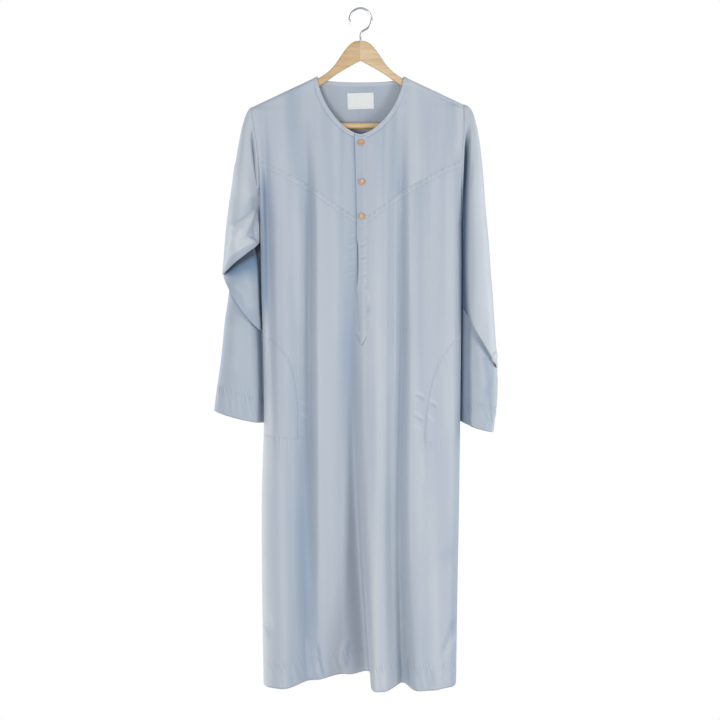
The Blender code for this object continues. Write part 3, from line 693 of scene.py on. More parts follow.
# Creases of the lower front: height, width above and below the line, points. Pulled cloth at the pockets,
# small folds at the hem and wrinkles at the side edges; below nothing is a groove.
FRONT_CREASES = [
    (1.3, 2.6, 1.8, [(106, -766), (119, -770), (133, -779)]),
    (-1.1, 2.2, 2.2, [(110, -774), (121, -778), (132, -786)]),
    (1.4, 2.6, 1.8, [(105, -809), (117, -814), (130, -824)]),
    (-1.2, 2.2, 2.2, [(106, -817), (118, -822), (130, -832)]),
    (1.3, 2.6, 1.8, [(102, -834), (115, -840), (129, -850)]),
    (1.5, 2.8, 1.8, [(138, -784), (147, -788), (160, -796)]),
    (-1.1, 2.2, 2.2, [(140, -792), (149, -796), (158, -802)]),
    (1.4, 2.6, 1.8, [(134, -812), (141, -819), (150, -830)]),
    (0.9, 4, 4, [(126, -870), (127, -915), (130, -970)]),
    (0.7, 2.6, 2.2, [(-127, -790), (-116, -795), (-106, -801)]),
    (0.7, 2.6, 2.2, [(-128, -814), (-117, -821), (-107, -829)]),
    (3.4, 3.5, 3, [(-202, -636), (-195, -642), (-187, -646)]),
    (3.4, 3.5, 3, [(-203, -650), (-195, -655), (-185, -657)]),
    (2.8, 3.5, 3, [(-203, -666), (-197, -669), (-189, -671)]),
    (1.2, 3, 3, [(203, -655), (196, -661), (188, -664)]),
    (-0.7, 1.6, 1.6, [(-193, -672), (-191, -730), (-190, -805)]),
    (-2.2, 3, 2, [(-93, -1312), (-89, -1340), (-84, -1375), (-80, -1402)]),
    (1.6, 3, 4, [(-101, -1325), (-97, -1350), (-94, -1390)]),
    (2, 4, 2.5, [(-116, -1300), (-113, -1340), (-110, -1402)]),
    (-0.6, 9, 7, [(150, -1130), (174, -1120), (202, -1108)]),
    (-1.1, 7, 6, [(199, -1247), (184, -1290), (167, -1334)]),
    (1.8, 5, 6, [(201, -1285), (190, -1310), (176, -1338)]),
    (2, 6, 5, [(-204, -1236), (-195, -1250), (-185, -1269)]),
    (-1.2, 6, 5, [(-204, -1262), (-197, -1280), (-190, -1300)]),
    (-1.5, 2.5, 2.5, [(84, -1330), (86, -1365), (88, -1402)]),
    (1.3, 3, 3, [(92, -1332), (93, -1365), (94, -1402)]),
    (-1.3, 2.5, 2.5, [(100, -1338), (101, -1370), (102, -1402)]),
    (1.4, 4, 4, [(-36, -1318), (-42, -1345), (-44, -1385)]),
    (-1.2, 5, 5, [(-24, -1316), (-28, -1350), (-30, -1395)]),
    (0.8, 5, 9, [(50, -1352), (52, -1402)]),
    (-0.7, 9, 6, [(150, -1352), (152, -1402)]),
]
SECOND_ROW = 9                          # of stitches, below the V seam
# Puckers on both sides of the slit: line, height, wave, reach, seed. Then the stitching over the slit's foot.
SLIT_PUCKERS = [([(-19, -428), (-18, -480), (-19, -560)], 1.5, 11, 6, 14),
                ([(10, -550), (13, -580), (16.5, -625)], 1.5, 10, 6, 15)]
TIP = [(-8, -652), (-3, -663), (2.4, -671), (6, -664), (10, -654)]
TIP_TOP = [(-2, -648), (3, -648)]


def felled_seam(x, z):
    """The V seam: a band raised by the turned-in edges, and short puckers along its two rows of stitches."""
    off, side, along, _ = line_place(x, z, V_LINE)
    below = -off * side
    total = 0.35 * fade(below, -0.9, 0.5) * (1 - fade(below, SECOND_ROW - 0.6, SECOND_ROW + 1.4))
    for at, height, wave, seed in ((1.0, 1.15, 12.5, 1), (SECOND_ROW - 1.2, 0.7, 10.5, 2)):
        total += height * waves(along + below * 0.5, wave, seed) * bell(below - at, 1.7)
        total -= 0.75 * bell(below - at - 1.6, 0.9)
        total -= 0.35 * bell(below - at + 1.7, 0.8)
    return total + 0.35 * waves(along + below * 0.6, 11, 6) * bell(below - 5, 11)


def front_relief(x, z):
    total = 0.45 * uneven(x, z, 19, 90, 1) + 0.15 * uneven(x, z, 8, 120, 2) + felled_seam(x, z)
    for row in SLIT_PUCKERS:
        total += pucker(x, z, *row)
    total -= 1.5 * crease(x, z, TIP, 1, 1.5, ends=0)
    total += 0.9 * crease(x, z, TIP_TOP, 1, 3, ends=0)
    total += stroke_puckers(x, -HEM_STITCH + z, 1.5, 3)
    for side, line in POCKETS.items():
        total += pucker(x, z, line, 0.45, 9, 10, 4 + side, groove=0.55, narrow=1.4)
        total += pucker(x, z, POCKET_FOOT[side], 0.8, 8, 9, 7 + side, groove=0.4)
    for height, above, below, line in FRONT_CREASES:
        total += crease(x, z, line, height, above, below)
    return total


SLIT_SHARE = 0.0295                     # of the half width, on each side of the slit
FRONT_SHARES = spaced(-1, (-0.95, 11), (-0.45, 62), (-SLIT_SHARE, 46), (SLIT_SHARE, 6), (0.16, 24),
                      (0.42, 28), (0.95, 66), (1, 11))
FRONT_DOWN = spaced(0, (0.014, 11), (0.03, 5), (0.15, 32), (0.225, 9), (0.262, 14), (0.295, 4), (0.345, 15),
                    (0.40, 8), (0.475, 24), (0.488, 3), (0.508, 8), (0.85, 12), (0.95, 9), (1, 14))
HEM_ROWS = 14
OFF_SEAM = 0.15                         # each panel's edge ends this far off the V seam
UNDER_YOKE = [6.0, 3.0, 0.9]            # how far the front's top rows run up behind the yokes
UNDER_GAP = 1.1                         # and how far they lie behind them
SLIT_END = -645
SLIT_LINE = [(-400, -6), (-550, -5), (-610, -2), (-648, 1)]     # height, x of the slit's edge


def make_front():
    share, down = np.meshgrid(FRONT_SHARES, FRONT_DOWN)
    top = v_seam(share * V_HALF) - OFF_SEAM
    z = top + (HEM - top) * down
    slit_off = (at_height(SLIT_LINE, z) - SLIT_LINE[0][1]) * fade(z, -760, -648)
    share = share + slit_off / V_HALF * bell(share * V_HALF, 30)
    under = [body(FRONT_SHARES, top[0] + rise, False, front_relief) for rise in UNDER_YOKE]
    under = np.array(under) + (0, UNDER_GAP, 0)
    points = np.concatenate([under, body(share, z, False, front_relief)])
    last = len(points)
    points = turned_up(points, last - HEM_ROWS, 0.25 * waves(points[..., 0], 11, 8))
    cut = np.zeros(points.shape[:2], bool)
    cut[:-1, :-1] = (np.abs(FRONT_SHARES[:-1] + 0.0001) < SLIT_SHARE) & (points[1:, :-1, 2] > SLIT_END)
    cut[last:] = False
    hollow = painted_body_shading(points, False, front_relief)
    return cloth_mesh("robe_front", points, robe_cloth, cut=cut, hollow=hollow)


robe_front = make_front()
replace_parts(robe_front, "front")
tell(robe_front)

# %% [markdown]
# ## The yokes
# The upper front is two pieces, from the shoulders to the V seam. Near the neck their columns crowd together,
# because the neckline turns steeply up to the shoulder there.

# %% The yokes
YOKE_DOWN = spaced(0, (0.88, 34), (0.965, 16), (1, 14))
RIDGE_STEPS = np.array([0, 0.25, 0.8, 1.8, 3.2, 5.0, 7.0, 9.5])     # first rows, down from the top
BAND_SIDE = NECK_HALF + BAND / 2 + 1.2  # where the shoulder's columns begin, beside the neckband
SHOULDER_TIP = 208
STRIP = (12, 7)                         # width of the left shoulder's turned seam at the neck and at the tip, which has painted light on it


def top_half(side):
    return half_width(np.array([NECK_TOP]), np.array([side]))[0]


def yoke_tops(side):
    """Shares of the width and heights along the top of one yoke: the neckline, then the shoulder."""
    margin = BAND / 2
    start = 6 / (NECK_HALF + margin)
    share = start + (1 - start) * (1 - (1 - np.linspace(0, 1, 62)) ** 2.2)
    x, z = neck_edge(share, margin, False)
    out = spaced(BAND_SIDE, (200, 84), (SHOULDER_TIP, 8)) / SHOULDER_TIP
    half = top_half(side)
    beside = BAND_SIDE / half + (out - out[0]) / (1 - out[0]) * (1 - BAND_SIDE / half)
    return np.concatenate([x / half, beside]), np.concatenate([z, shoulder(beside * half)])


def off_band(x, z):
    """Rough distance off the neckband's outer edge, and whether a point lies beside the neck opening."""
    edge = neck_edge(np.clip(x / (NECK_HALF + BAND), -1, 1), BAND, False)[1]
    return (edge - z) * 0.7, np.abs(x) < NECK_HALF + BAND


def shoulder_puckers(x, z, height, seed, down):
    """Puckers along the shoulder's seam, which lies down below its top."""
    along = np.abs(x) + z * 0.2
    return height * waves(along, 6, seed) * bell(shoulder(x) - z - down, 5) * fade(np.abs(x), 92, 104)


def yoke_relief(x, z):
    total = 0.45 * uneven(x, z, 17, 80, 3) + 0.15 * uneven(x, z, 7, 70, 4) + felled_seam(x, z)
    total += shoulder_puckers(x, z, 0.30, 9, 6)
    below, near = off_band(x, z)
    return total + 0.4 * waves(z * 0.8 - x * 0.4, 8, 11) * bell(np.where(near, np.maximum(0, below), FAR), 7)


def make_yoke(name, side):
    shares, tops = yoke_tops(side)
    low = v_seam(shares * V_HALF) + OFF_SEAM
    first = tops - RIDGE_STEPS[:, None]
    z = np.concatenate([first, first[-1] + (low - first[-1]) * YOKE_DOWN[1:, None]])
    points = body(side * np.broadcast_to(shares, z.shape), z, False, yoke_relief)[:, ::side]
    x, z = points[..., 0], points[..., 2]
    beside, near = off_band(x, z)
    # Painted shade of the folds, and more along the neckband's outer edge.
    hollow = painted_body_shading(points, False, yoke_relief) + 0.35 * bell(np.where(near, np.abs(beside), FAR), 2.2)
    # On the left yoke the strip above the shoulder seam gets painted light, and the seam painted shade.
    if side > 0:
        tipward = np.clip((x - 90) / (SHOULDER_TIP - 90), 0, 1)
        past = shoulder(x) - z - (STRIP[0] + (STRIP[1] - STRIP[0]) * tipward)
        hollow = hollow - 0.14 * fade(-past, -1, 1) + 0.30 * bell(past - 1, 1.3)
    return cloth_mesh(name, points, robe_cloth, hollow=hollow)


for name, side in (("yoke_right", -1), ("yoke_left", 1)):
    made = make_yoke("robe_" + name, side)
    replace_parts(made, name)
    tell(made)

# %% [markdown]
# ## The back
# One panel from the shoulders to the hem. Nobody sees its folds from the front, so they follow the same rules
# as the front's: a few deep ones that grow downwards, small ones between them, and puckers at every seam.

# %% The back
BACK_PIT = 0.21                         # share of the way down where the armholes end
BACK_UPPER, BACK_LOWER = spaced(0, (BACK_PIT, 26)), spaced(BACK_PIT, (0.95, 60), (1, 18))
BACK_HEM_ROWS = 18
NECK_SHADE = 0.27                       # painted shade behind the neck, where the robe's inside lies in its own shade


def back_relief(x, z):
    total = 0.35 * uneven(x, z, 21, 100, 5) + 0.2 * uneven(x, z, 8, 120, 6) * fade(-z, 300, 500)
    hem = [(-215, HEM_STITCH), (215, HEM_STITCH)]
    total += pucker(x, z, hem, 0.5, 9, 13, 13, groove=0.3, narrow=1.5)
    return total + shoulder_puckers(x, z, 0.3, 19, 5)


def make_back():
    sides = []
    for side in (-1, 1):
        half = top_half(side)
        x, z = neck_edge(1 - (1 - np.linspace(0, 1, 40)) ** 1.8, BAND / 2, True)
        outer = spaced(BAND_SIDE, (half * 0.95, 62), (half, 10))
        sides.append((side * np.concatenate([x, outer]) / half, np.concatenate([z, shoulder(outer)])))
    shares, tops = [np.concatenate([left[:0:-1], right]) for left, right in zip(*sides)]
    first = tops - RIDGE_STEPS[:, None]
    pit = np.where(np.abs(shares) > 0.9999, ARMPIT, first[-1] + (HEM - first[-1]) * BACK_PIT)
    upper = first[-1] + (pit - first[-1]) * (BACK_UPPER[1:, None] / BACK_PIT)
    lower = pit + (HEM - pit) * ((BACK_LOWER[1:, None] - BACK_PIT) / (1 - BACK_PIT))
    z = np.concatenate([first, upper, lower])
    points = body(np.broadcast_to(shares, z.shape), z, True, back_relief)[:, ::-1]
    points = turned_up(points, len(points) - BACK_HEM_ROWS, 0.25 * waves(points[..., 0], 12, 18))
    inside = fade(points[..., 2], -360, -205) * np.exp(-(points[..., 0] / 82) ** 4)
    hollow = painted_body_shading(points, True, back_relief) + NECK_SHADE * inside
    return cloth_mesh("robe_back", points, robe_cloth, hollow=hollow)


robe_back = make_back()
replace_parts(robe_back, "back")
tell(robe_back)

# %% [markdown]
# ## The sleeves
# A sleeve is a flat tube that grows out of the armhole. Each one hangs folded back on itself at the elbow, so
# its rings run down, turn in at a lip, run up a little inside and come down again. A smooth curve
# through a table of rings gives that without any simulation.

# %% The sleeves
# outer edge x, z, inner edge x, z, half depth, share of a plain oval, how far the ring's middle bows up
SLEEVE_RIGHT = [
    (219.9, -192.8, 204.9, -424, 24, 0, 0),
    (223.5, -195.5, 206.3, -426, 26, 0.25, 0),
    (229.5, -204.5, 207.4, -428.5, 30, 0.5, 0),
    (238.5, -228, 208.2, -432, 36, 0.8, 0),
    (249, -274, 208.6, -436.5, 42, 1, 0),
    (259, -334, 208.8, -442, 47, 1, 0),
    (268.5, -390, 208.8, -448, 50, 1, 0),
    (276, -447, 208.6, -454, 52, 1, 0),
    (281, -497, 208.4, -459.5, 53, 1, 3),
    (284.5, -531, 208, -465, 54, 1, 4),
    (282, -531.5, 210.8, -465.5, 50, 1, 4),
    (279, -528.5, 215.5, -457, 40, 1, 4),
    (279.5, -530, 213, -480, 34, 1, 2),
    (281.5, -532, 210, -560, 38, 1, -3),
    (282, -535, 205.2, -646, 43, 1, -8),
    (279.5, -538, 208.2, -648, 40, 1, -8),
    (270, -556, 213, -636, 31, 1, -6),
    (273.5, -582, 208.5, -660, 31, 1, -3),
    (281, -628, 204.5, -700, 33, 1, 0),
    (290, -706, 203.5, -760, 33, 1, 0),
    (299, -770, 203.5, -808, 31, 1, 0),
    (305.5, -815, 204.5, -842, 29, 1, 0),
]
SLEEVE_LEFT = [
    (208.4, -187.3, 207.4, -424, 24, 0, 0),
    (216.5, -191.5, 208, -426, 26, 0.2, 0),
    (225.5, -202, 208.5, -428.5, 30, 0.45, 0),
    (235.5, -232, 208.9, -432, 35, 0.8, 0),
    (243, -272, 209.1, -436.5, 40, 1, 0),
    (249.5, -330, 209.3, -442, 44, 1, 0),
    (256, -395, 209.6, -450, 47, 1, 0),
    (263, -460, 210.6, -466, 49, 1, 0),
    (268.5, -525, 211.2, -506, 51, 1, 0),
    (274, -590, 211.6, -541, 52, 1, 0),
    (279.5, -660, 211.8, -574, 52, 1, 0),
    (285, -722, 212, -600, 52, 1, 3),
    (283.5, -726, 213.6, -601.5, 48, 1, 3),
    (281, -720, 217.5, -595, 40, 1, 3),
    (283, -731, 214.5, -612, 38, 1, 0),
    (285.5, -750, 211.2, -650, 38, 1, 0),
    (285.5, -775, 210.6, -715, 36, 1, 0),
    (283, -815, 209.5, -775, 33, 1, 0),
    (278, -860, 211.5, -838, 31, 1, 0),
]
# Beside the body the front of a sleeve steps back: from ring, to ring, how deep, over what width, how much
# shade is painted in the step, and where the step lies as (height, x).
STEPS_RIGHT = [
    (0.6, 9, 20, 9, 0.85, [(-190, 224), (-250, 225), (-290, 221), (-340, 214), (-385, 206), (-450, 206)]),
    (9.6, 15, 26, 7, 1.5, [(-455, 226), (-480, 220), (-503, 215), (-525, 213), (-600, 211), (-640, 206)]),
    (15.6, 21, 12, 22, 0.75, [(-600, 230), (-700, 226), (-770, 223), (-850, 221)]),
]
STEPS_LEFT = [
    (0.6, 12.6, 24, 7, 1, [(-190, 214), (-240, 223.5), (-290, 222.5), (-378, 220), (-478, 220), (-561, 222),
                             (-606, 225), (-640, 234)]),
    (12.6, 18, 10, 6, 0.6, [(-600, 229), (-705, 228), (-772, 230), (-850, 231)]),
]
CUFF_STITCH = 50                        # from the cuff's edge
PRESS_CAVITY = 0.07                     # painted shade for a millimetre of a pressed crease, and painted light for one of a ridge
SLEEVE_SHADES = (-0.25, 1.9)            # limits of the painted light and the painted shade on a sleeve
AROUND_FRONT, AROUND_BACK = 100, 44
AROUND = AROUND_FRONT + AROUND_BACK


def sleeve_steps(rows, run_close):
    """Ring places down a sleeve, a few millimetres apart, closer between the two rows run_close."""
    parts = []
    for index, (a, b) in enumerate(zip(rows, rows[1:])):
        run = max(math.dist(a[:2], b[:2]), math.dist(a[2:4], b[2:4]))
        close = index < 2 or run_close[0] <= index < run_close[1]
        parts.append((index + 1, max(3, int(run / (2.2 if close else 3.6)))))
    return spaced(0, *parts)


def sleeve_points(rows, side, steps, relief, set_back):
    """Points of a sleeve's rings, and the light and shade painted on each place."""
    halves = [(np.arange(count) + 0.5) / count * math.pi for count in (AROUND_FRONT, AROUND_BACK)[::-side]]
    angle = np.concatenate([halves[0], math.pi + halves[1]])
    step = steps[:, None]
    outer_x, outer_z, inner_x, inner_z, half, oval, bow = [
        smooth_table(range(len(rows)), column, steps)[:, None] for column in zip(*rows)]
    share = (1 - np.cos(angle)) / 2
    z = outer_z + (inner_z - outer_z) * share + bow * 4 * share * (1 - share)
    full = half * np.abs(np.sin(angle))
    # The first ring lies on the armhole; after it the inner edge keeps close to the body's side.
    hole = half_width(z, np.full(z.shape, side))
    free = fade(step, 0, 0.8)
    close = np.minimum(inner_x, hole + 0.4) * free + inner_x * (1 - free)
    x = np.where(step < 0.001, hole + 0.3, outer_x + (close - outer_x) * share)
    off_hole = fade(x - hole, 0, 7)
    hole_depth = armhole(np.maximum(z, ARMPIT), hole)
    depth = np.where(oval < 1, hole_depth * (1 - oval) + full * oval, full)
    front = np.sin(angle) * side < 0
    hollow = np.zeros(x.shape)
    for first, last, deep, width, dark, rows_x in set_back:
        zone = fade(step, first - 0.6, first + 0.4) * fade(last + 0.5 - step, 0, 0.5)
        back = zone * fade(at_height(rows_x, z) - x, 0, width) * front
        # Round the armhole the step begins gradually.
        joined = off_hole * fade(-z, 215, 300)
        back *= joined + (1 - joined) * fade(ARMPIT + 44 - z, 0, 54)
        depth = depth - np.minimum(deep * back, depth * 0.9)
        # Painted shade in the step.
        hollow = np.maximum(hollow, dark * back)
    y = np.where(np.sin(angle) > 0, depth, -depth)
    points = np.stack([side * x, y * side, z], -1)
    raised, shade = relief(*np.moveaxis(points, -1, 0), np.broadcast_to(step, x.shape))
    raised = raised * off_hole
    # The relief's painted light and shade join the step's; its grooves get painted shade and its ridges
    # painted light.
    shade = np.maximum(hollow, np.maximum(shade, 0)) + np.minimum(shade, 0)
    shade -= PRESS_CAVITY * np.clip(raised, -3, 2.5)
    return points + ring_normals(points) * raised[..., None], np.clip(shade, *SLEEVE_SHADES)


def seam_puckers(step, z, seed):
    """Gathers where the sleeve meets the armhole."""
    return 0.45 * waves(z * 0.9, 7, seed) * bell(step - 0.7, 1.1) * fade(step, 0, 0.35)


def above_edge(points):
    """Distances up from a sleeve's last ring."""
    down = running_length(points)
    return down[-1] - down


def cuff_puckers(points, seed):
    """Puckers along the cuff's stitching."""
    up = above_edge(points)
    return stroke_puckers(running_length(points, 1), up - CUFF_STITCH, 1.5, seed) * fade(up, 0, 10)


# Creases pressed into the front of a sleeve: the rings they lie on, height, width above and below the line,
# and the line's points.
CREASES_RIGHT = [
    (2, 9, -1.6, 2.2, 3,
     [(-279, -526), (-267, -506), (-252, -486), (-233, -472), (-215, -465), (-205, -463)]),
    (2, 9, 1.6, 14, 14, [(-262, -300), (-246, -340), (-228, -372)]),
    (12, 15, 2.6, 9, 5, [(-262, -545), (-240, -566), (-226, -600)]),
    (12, 15, 2, 9, 9, [(-236, -510), (-226, -560), (-218, -610)]),
    (16, 21, 1.4, 12, 14, [(-262, -620), (-256, -680), (-262, -740)]),
]
# Where the right sleeve is bent its cloth is crumpled into flat facets: x, z, height of their corners, and
# the pairs of corners that a crease joins.
ELBOW = [
    (-265, -426, 0), (-243, -417, -1.5), (-218, -400, -3), (-204, -386, -4), (-222, -416, 4),
    (-237, -436, 6), (-253, -454, 4.5), (-268, -486, 2), (-204, -404, -5), (-206, -430, -7),
    (-219, -436, -2.5), (-229, -449, -1), (-211, -454, -4), (-217, -462, 2), (-231, -470, 3),
    (-247, -480, 4), (-262, -499, 3), (-274, -515, 1), (-241, -456, 1), (-254, -388, 0), (-230, -374, 0),
    (-202, -364, 0), (-267, -458, 0), (-281, -527, 0), (-203, -472, 0),
]
ELBOW_CREASES = [(0, 1), (1, 2), (2, 3), (3, 4), (4, 5), (5, 6), (6, 7), (5, 11), (11, 13), (11, 14), (5, 10),
                 (10, 12), (13, 14), (14, 15), (15, 16), (16, 17), (8, 10), (9, 10)]
ELBOW_HEIGHT = 1.6
CREASES_LEFT = [
    (2, 11, 1.8, 12, 12, [(232, -300), (240, -420), (250, -560), (262, -660)]),
    (2, 11, -1.2, 9, 9, [(247, -340), (256, -460), (264, -580)]),
    (2, 11, 2.4, 7, 5, [(272, -690), (281, -703)]),
    (11, 15, 2, 4, 4, [(268, -702), (276, -706), (285, -712)]),
    (11, 15, -1.5, 4, 4, [(270, -711), (278, -717), (285, -719)]),
    (11, 16, 1.8, 4, 4, [(269, -722), (276, -725), (285, -734)]),
    (13, 18, -1.6, 2.5, 5, [(272, -728), (268, -772), (270, -810), (274, -856)]),
    (13, 18, 2, 8, 8, [(240, -660), (250, -720), (252, -770)]),
    (13, 18, -1.8, 7, 7, [(252, -690), (262, -740), (262, -790)]),
]


def pressed(creases, x, y, z, step):
    total = 0
    for first, last, height, above, below, line in creases:
        zone = fade(-y, -2, 6) * (step > first) * (step <= last + 0.01)
        total += zone * crease(x, z, line, height, above, below, ends=0.18)
    return total


def right_relief(x, y, z, step):
    """How far the right sleeve's cloth is raised, and the shade painted on it; steps are rings of the table.
    """
    total = 0.6 * uneven(x + y * 0.5, z, 16, 70, 31) + seam_puckers(step, z, 31)
    total += ELBOW_HEIGHT * crumpled(x, z, ELBOW, ELBOW_CREASES) * fade(-y, 4, 20) * (step < 9.2)
    # Painted shade under the elbow's lip and under its flap, and softer painted shade along the rolled edge.
    gone = 0.95 * fade(step, 11.9, 12.35), 0.75 * fade(step, 12.25, 12.95)
    under_lip = fade(step, 9.5, 10.1) * (1.7 - gone[0] - gone[1])
    under_flap = fade(step, 14.5, 15.1) * (1 - fade(step, 16.2, 16.7))
    off, side, _, _ = line_place(x, z, CREASES_RIGHT[0][5])
    roll = (0.5 * bell(off, 1.3) + 0.55 * fade(-off * side, 0, 4)) * fade(-y, 0, 8)
    roll = roll * (step > 7.2) * (step < 9.3)
    # Painted shade over the cloth below the lip, less on the lower sleeve, and a little painted light above
    # the lip.
    painted_sleeve_shading = 0.36 * (step > 9.9) - 0.18 * fade(step, 14.8, 16.2) - 0.06 * (step < 9.3)
    return (total + pressed(CREASES_RIGHT, x, y, z, step),
            np.maximum(under_lip, under_flap * 0.8) + painted_sleeve_shading + roll)


def left_relief(x, y, z, step):
    """The same for the left sleeve."""
    total = 0.6 * uneven(x + y * 0.5, z, 16, 80, 41) + seam_puckers(step, z, 41)
    # Painted shade under the lip, less towards its outer end, painted light on the upper sleeve's outer part,
    # and painted shade over all of the lower sleeve.
    under_lip = fade(step, 11.5, 12.1) * (1 - fade(step, 14.1, 15.0))
    dark = under_lip * (0.42 - 0.35 * fade(x, 254, 270)) - 0.12 * (step < 11.5) * fade(x, 222, 240)
    return total + pressed(CREASES_LEFT, x, y, z, step), np.where(step > 12.5, np.maximum(dark, 0.22), dark)


def make_sleeve(name, rows, side, relief, seed, set_back):
    steps = sleeve_steps(rows, (4, 9) if side < 0 else (9, 11))
    points, hollow = sleeve_points(rows, side, steps, relief, set_back)
    cuff = cuff_puckers(points, seed)
    points = points + ring_normals(points) * cuff[..., None]
    # The cuff's puckers get painted shade in their grooves and painted light on their ridges.
    hollow = np.clip(hollow - CAVITY * np.clip(cuff, -1.2, 0.7), *SLEEVE_SHADES)
    first = int(np.argmax(above_edge(points)[:, 0] < CUFF_STITCH))
    drawn = 0.2 * waves(np.arange(AROUND + 2) * 2.0, 11, seed)
    turned = turned_up(closed_rings(points), first, drawn)[:, 1:-1]
    # Painted shade on the turned-up cloth inside the cuff.
    hollow = np.concatenate([hollow, np.full((len(turned) - len(points), AROUND), 0.6)])
    return cloth_mesh(name, turned, robe_cloth, closed=True, hollow=hollow), points


sleeve_rings = []
for name, rows, side, relief, seed, set_back in (
        ("sleeve_right", SLEEVE_RIGHT, -1, right_relief, 51, STEPS_RIGHT),
        ("sleeve_left", SLEEVE_LEFT, 1, left_relief, 61, STEPS_LEFT)):
    made, rings = make_sleeve("robe_" + name, rows, side, relief, seed, set_back)
    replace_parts(made, name)
    sleeve_rings.append(rings)
    tell(made)

# %% [markdown]
# ## Placket and neckband
# The placket is a strip folded under at both edges and stitched down over the slit. Its left edge stands free
# where the slit opens. The neckband is a bias strip folded over the neck's raw edge, so it is a
# flat rounded roll that follows the neckline over the shoulders and round the back.

# %% The placket strips
PLACKET_RIGHT = [(-249, 12.4), (-420, 12.6), (-550, 13), (-648, 12.6), (-664, 6.5)]
PLACKET_TOP, PLACKET_LOW, PLACKET_END = -249, -640, -664
PLACKET_TIP = (2.2, -672)
TOP_PART = 13                           # so much of a strip's top is drawn up to the neckband's edge
OVER, UNDER = 1.5, -1.6                 # how far the strips lie in front of the front's cloth and behind it
UNDER_LEFT, UNDER_WIDE = -12.2, 21.2
PLACKET_STITCH = [(6, -250), (4, -411), (3.4, -428), (6, -475), (8, -535), (11, -580), (12.5, -620)]


def lifted(x, z, lift, back=False, relief=None):
    """Points of the body's cloth moved out to the front, square to the cloth; lift may vary."""
    share = x / half_width(z, x)
    points = body(share, z, back, relief)
    across = body(share + 0.003, z, back, relief) - body(share - 0.003, z, back, relief)
    up = body(share, z + 0.6, back, relief) - body(share, z - 0.6, back, relief)
    out = np.cross(across, up)
    out /= np.linalg.norm(out, axis=-1, keepdims=True)
    return points + out * np.asarray(lift)[..., None]


def to_band(x, z):
    """Heights moved so that a strip's top follows the neckband's edge."""
    top = neck_edge(x / (NECK_HALF + BAND / 2), BAND / 2, False)[1]
    low = PLACKET_TOP - TOP_PART
    return np.where(z > low, top + (z - PLACKET_TOP) * (top - low) / TOP_PART, z)


def placket_puckers(x, z, groove=0):
    return pucker(x, z, PLACKET_STITCH, 1.4, 12, 5, 21, groove=groove)


def make_placket():
    across = spaced(0, (0.10, 4), (0.9, 13), (1, 4))
    share, z = np.meshgrid(across, spaced(PLACKET_TOP, (PLACKET_LOW, 150), (PLACKET_END, 12)))
    left, right = at_height(PLACKET_LEFT, z), at_height(PLACKET_RIGHT, z)
    x = left + (right - left) * share
    z = to_band(x, z)
    # The left edge stands up where the slit opens, the right one is stitched down.
    lift = OVER + 0.25 * bell(share - 0.04, 0.05) - fade(share, 0.60, 1)
    open_slit = fade(-z, 440, 470) * fade(z, -575, -545)
    lift += open_slit * 0.8 * bell(share, 0.16)
    lift += placket_puckers(x, z, 0.3) * fade(share, 0.12, 0.3) * fade(-z, 380, 430)
    lift += 0.25 * waves(z + x * 0.5, 10, 23) * bell(share - 0.12, 0.18)
    lift -= 0.45 * fade(-share, -0.06, 0) * (1 - open_slit)
    lift -= 0.6 * fade(-share, -0.4, 0) * fade(-z, 550, 600)
    points = lifted(x, z, lift)
    # The last rows draw together to the tip.
    last_x, last_z = points[-1, :, 0], points[-1, :, 2]
    tip_x, tip_z = PLACKET_TIP
    ends = [lifted(last_x + (tip_x - last_x) * step, last_z + (tip_z - last_z) * step,
                   np.full(last_x.shape, 1.2)) for step in (0.35, 0.7, 0.93)]
    points = np.concatenate([points, ends])
    # The strip gets the front's painted shade and light, and its puckers painted shade and light.
    deep = painted_body_shading(points, False, lambda x, z: placket_puckers(x, z) * fade(-z, 380, 430))
    return cloth_mesh("robe_placket", points, robe_cloth, thick=0.9, hollow=deep)


def make_under_placket():
    share, z = np.meshgrid(np.linspace(0, 1, 9), np.linspace(PLACKET_TOP, PLACKET_LOW, 60))
    x = UNDER_LEFT + UNDER_WIDE * share
    z = to_band(x, z)
    points = lifted(x, z, UNDER + 0.2 * waves(z, 30, 3))
    # Shade is painted over all of the under strip, which lies behind the placket.
    return cloth_mesh("robe_placket_under", points, robe_cloth, thick=0.8, hollow=np.ones(x.shape))


for made, name in ((make_placket(), "placket"), (make_under_placket(), "placket_under")):
    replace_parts(made, name)
    tell(made)


# %% The neckband
BAND_THICK = 1.15
BAND_STITCH = (1.7, 6.4)                # its two rows of stitches, from its inner edge
BAND_ENDS = (-11.2, -12.2, 12.4)        # x of its start and its end, and how near the middle the rest comes
STATION = 1.7                           # between its rings


def band_stations():
    """Neckline places in order: share of the neck and whether it lies on the back."""
    def half_line(back):
        s = 1 - (1 - np.linspace(0, 1, 400)) ** 2.4
        x, z = neck_edge(s, 0, back)
        run = np.concatenate([[0], np.cumsum(np.hypot(np.diff(x), np.diff(z)))])
        return np.interp(np.arange(0, run[-1], STATION), run, s)
    front, rear = half_line(False), half_line(True)
    start, end, meets = [x / NECK_HALF for x in BAND_ENDS]
    return ([(start * t, False) for t in (1, 0.85, 0.7, 0.5, 0.3, 0.15)]
            + [(s, False) for s in front] + [(1.0, False)] + [(s, True) for s in rear[::-1]]
            + [(-s, True) for s in rear[1:]] + [(-1.0, False)]
            + [(-s, False) for s in front[::-1] if s > meets] + [(end, False)])


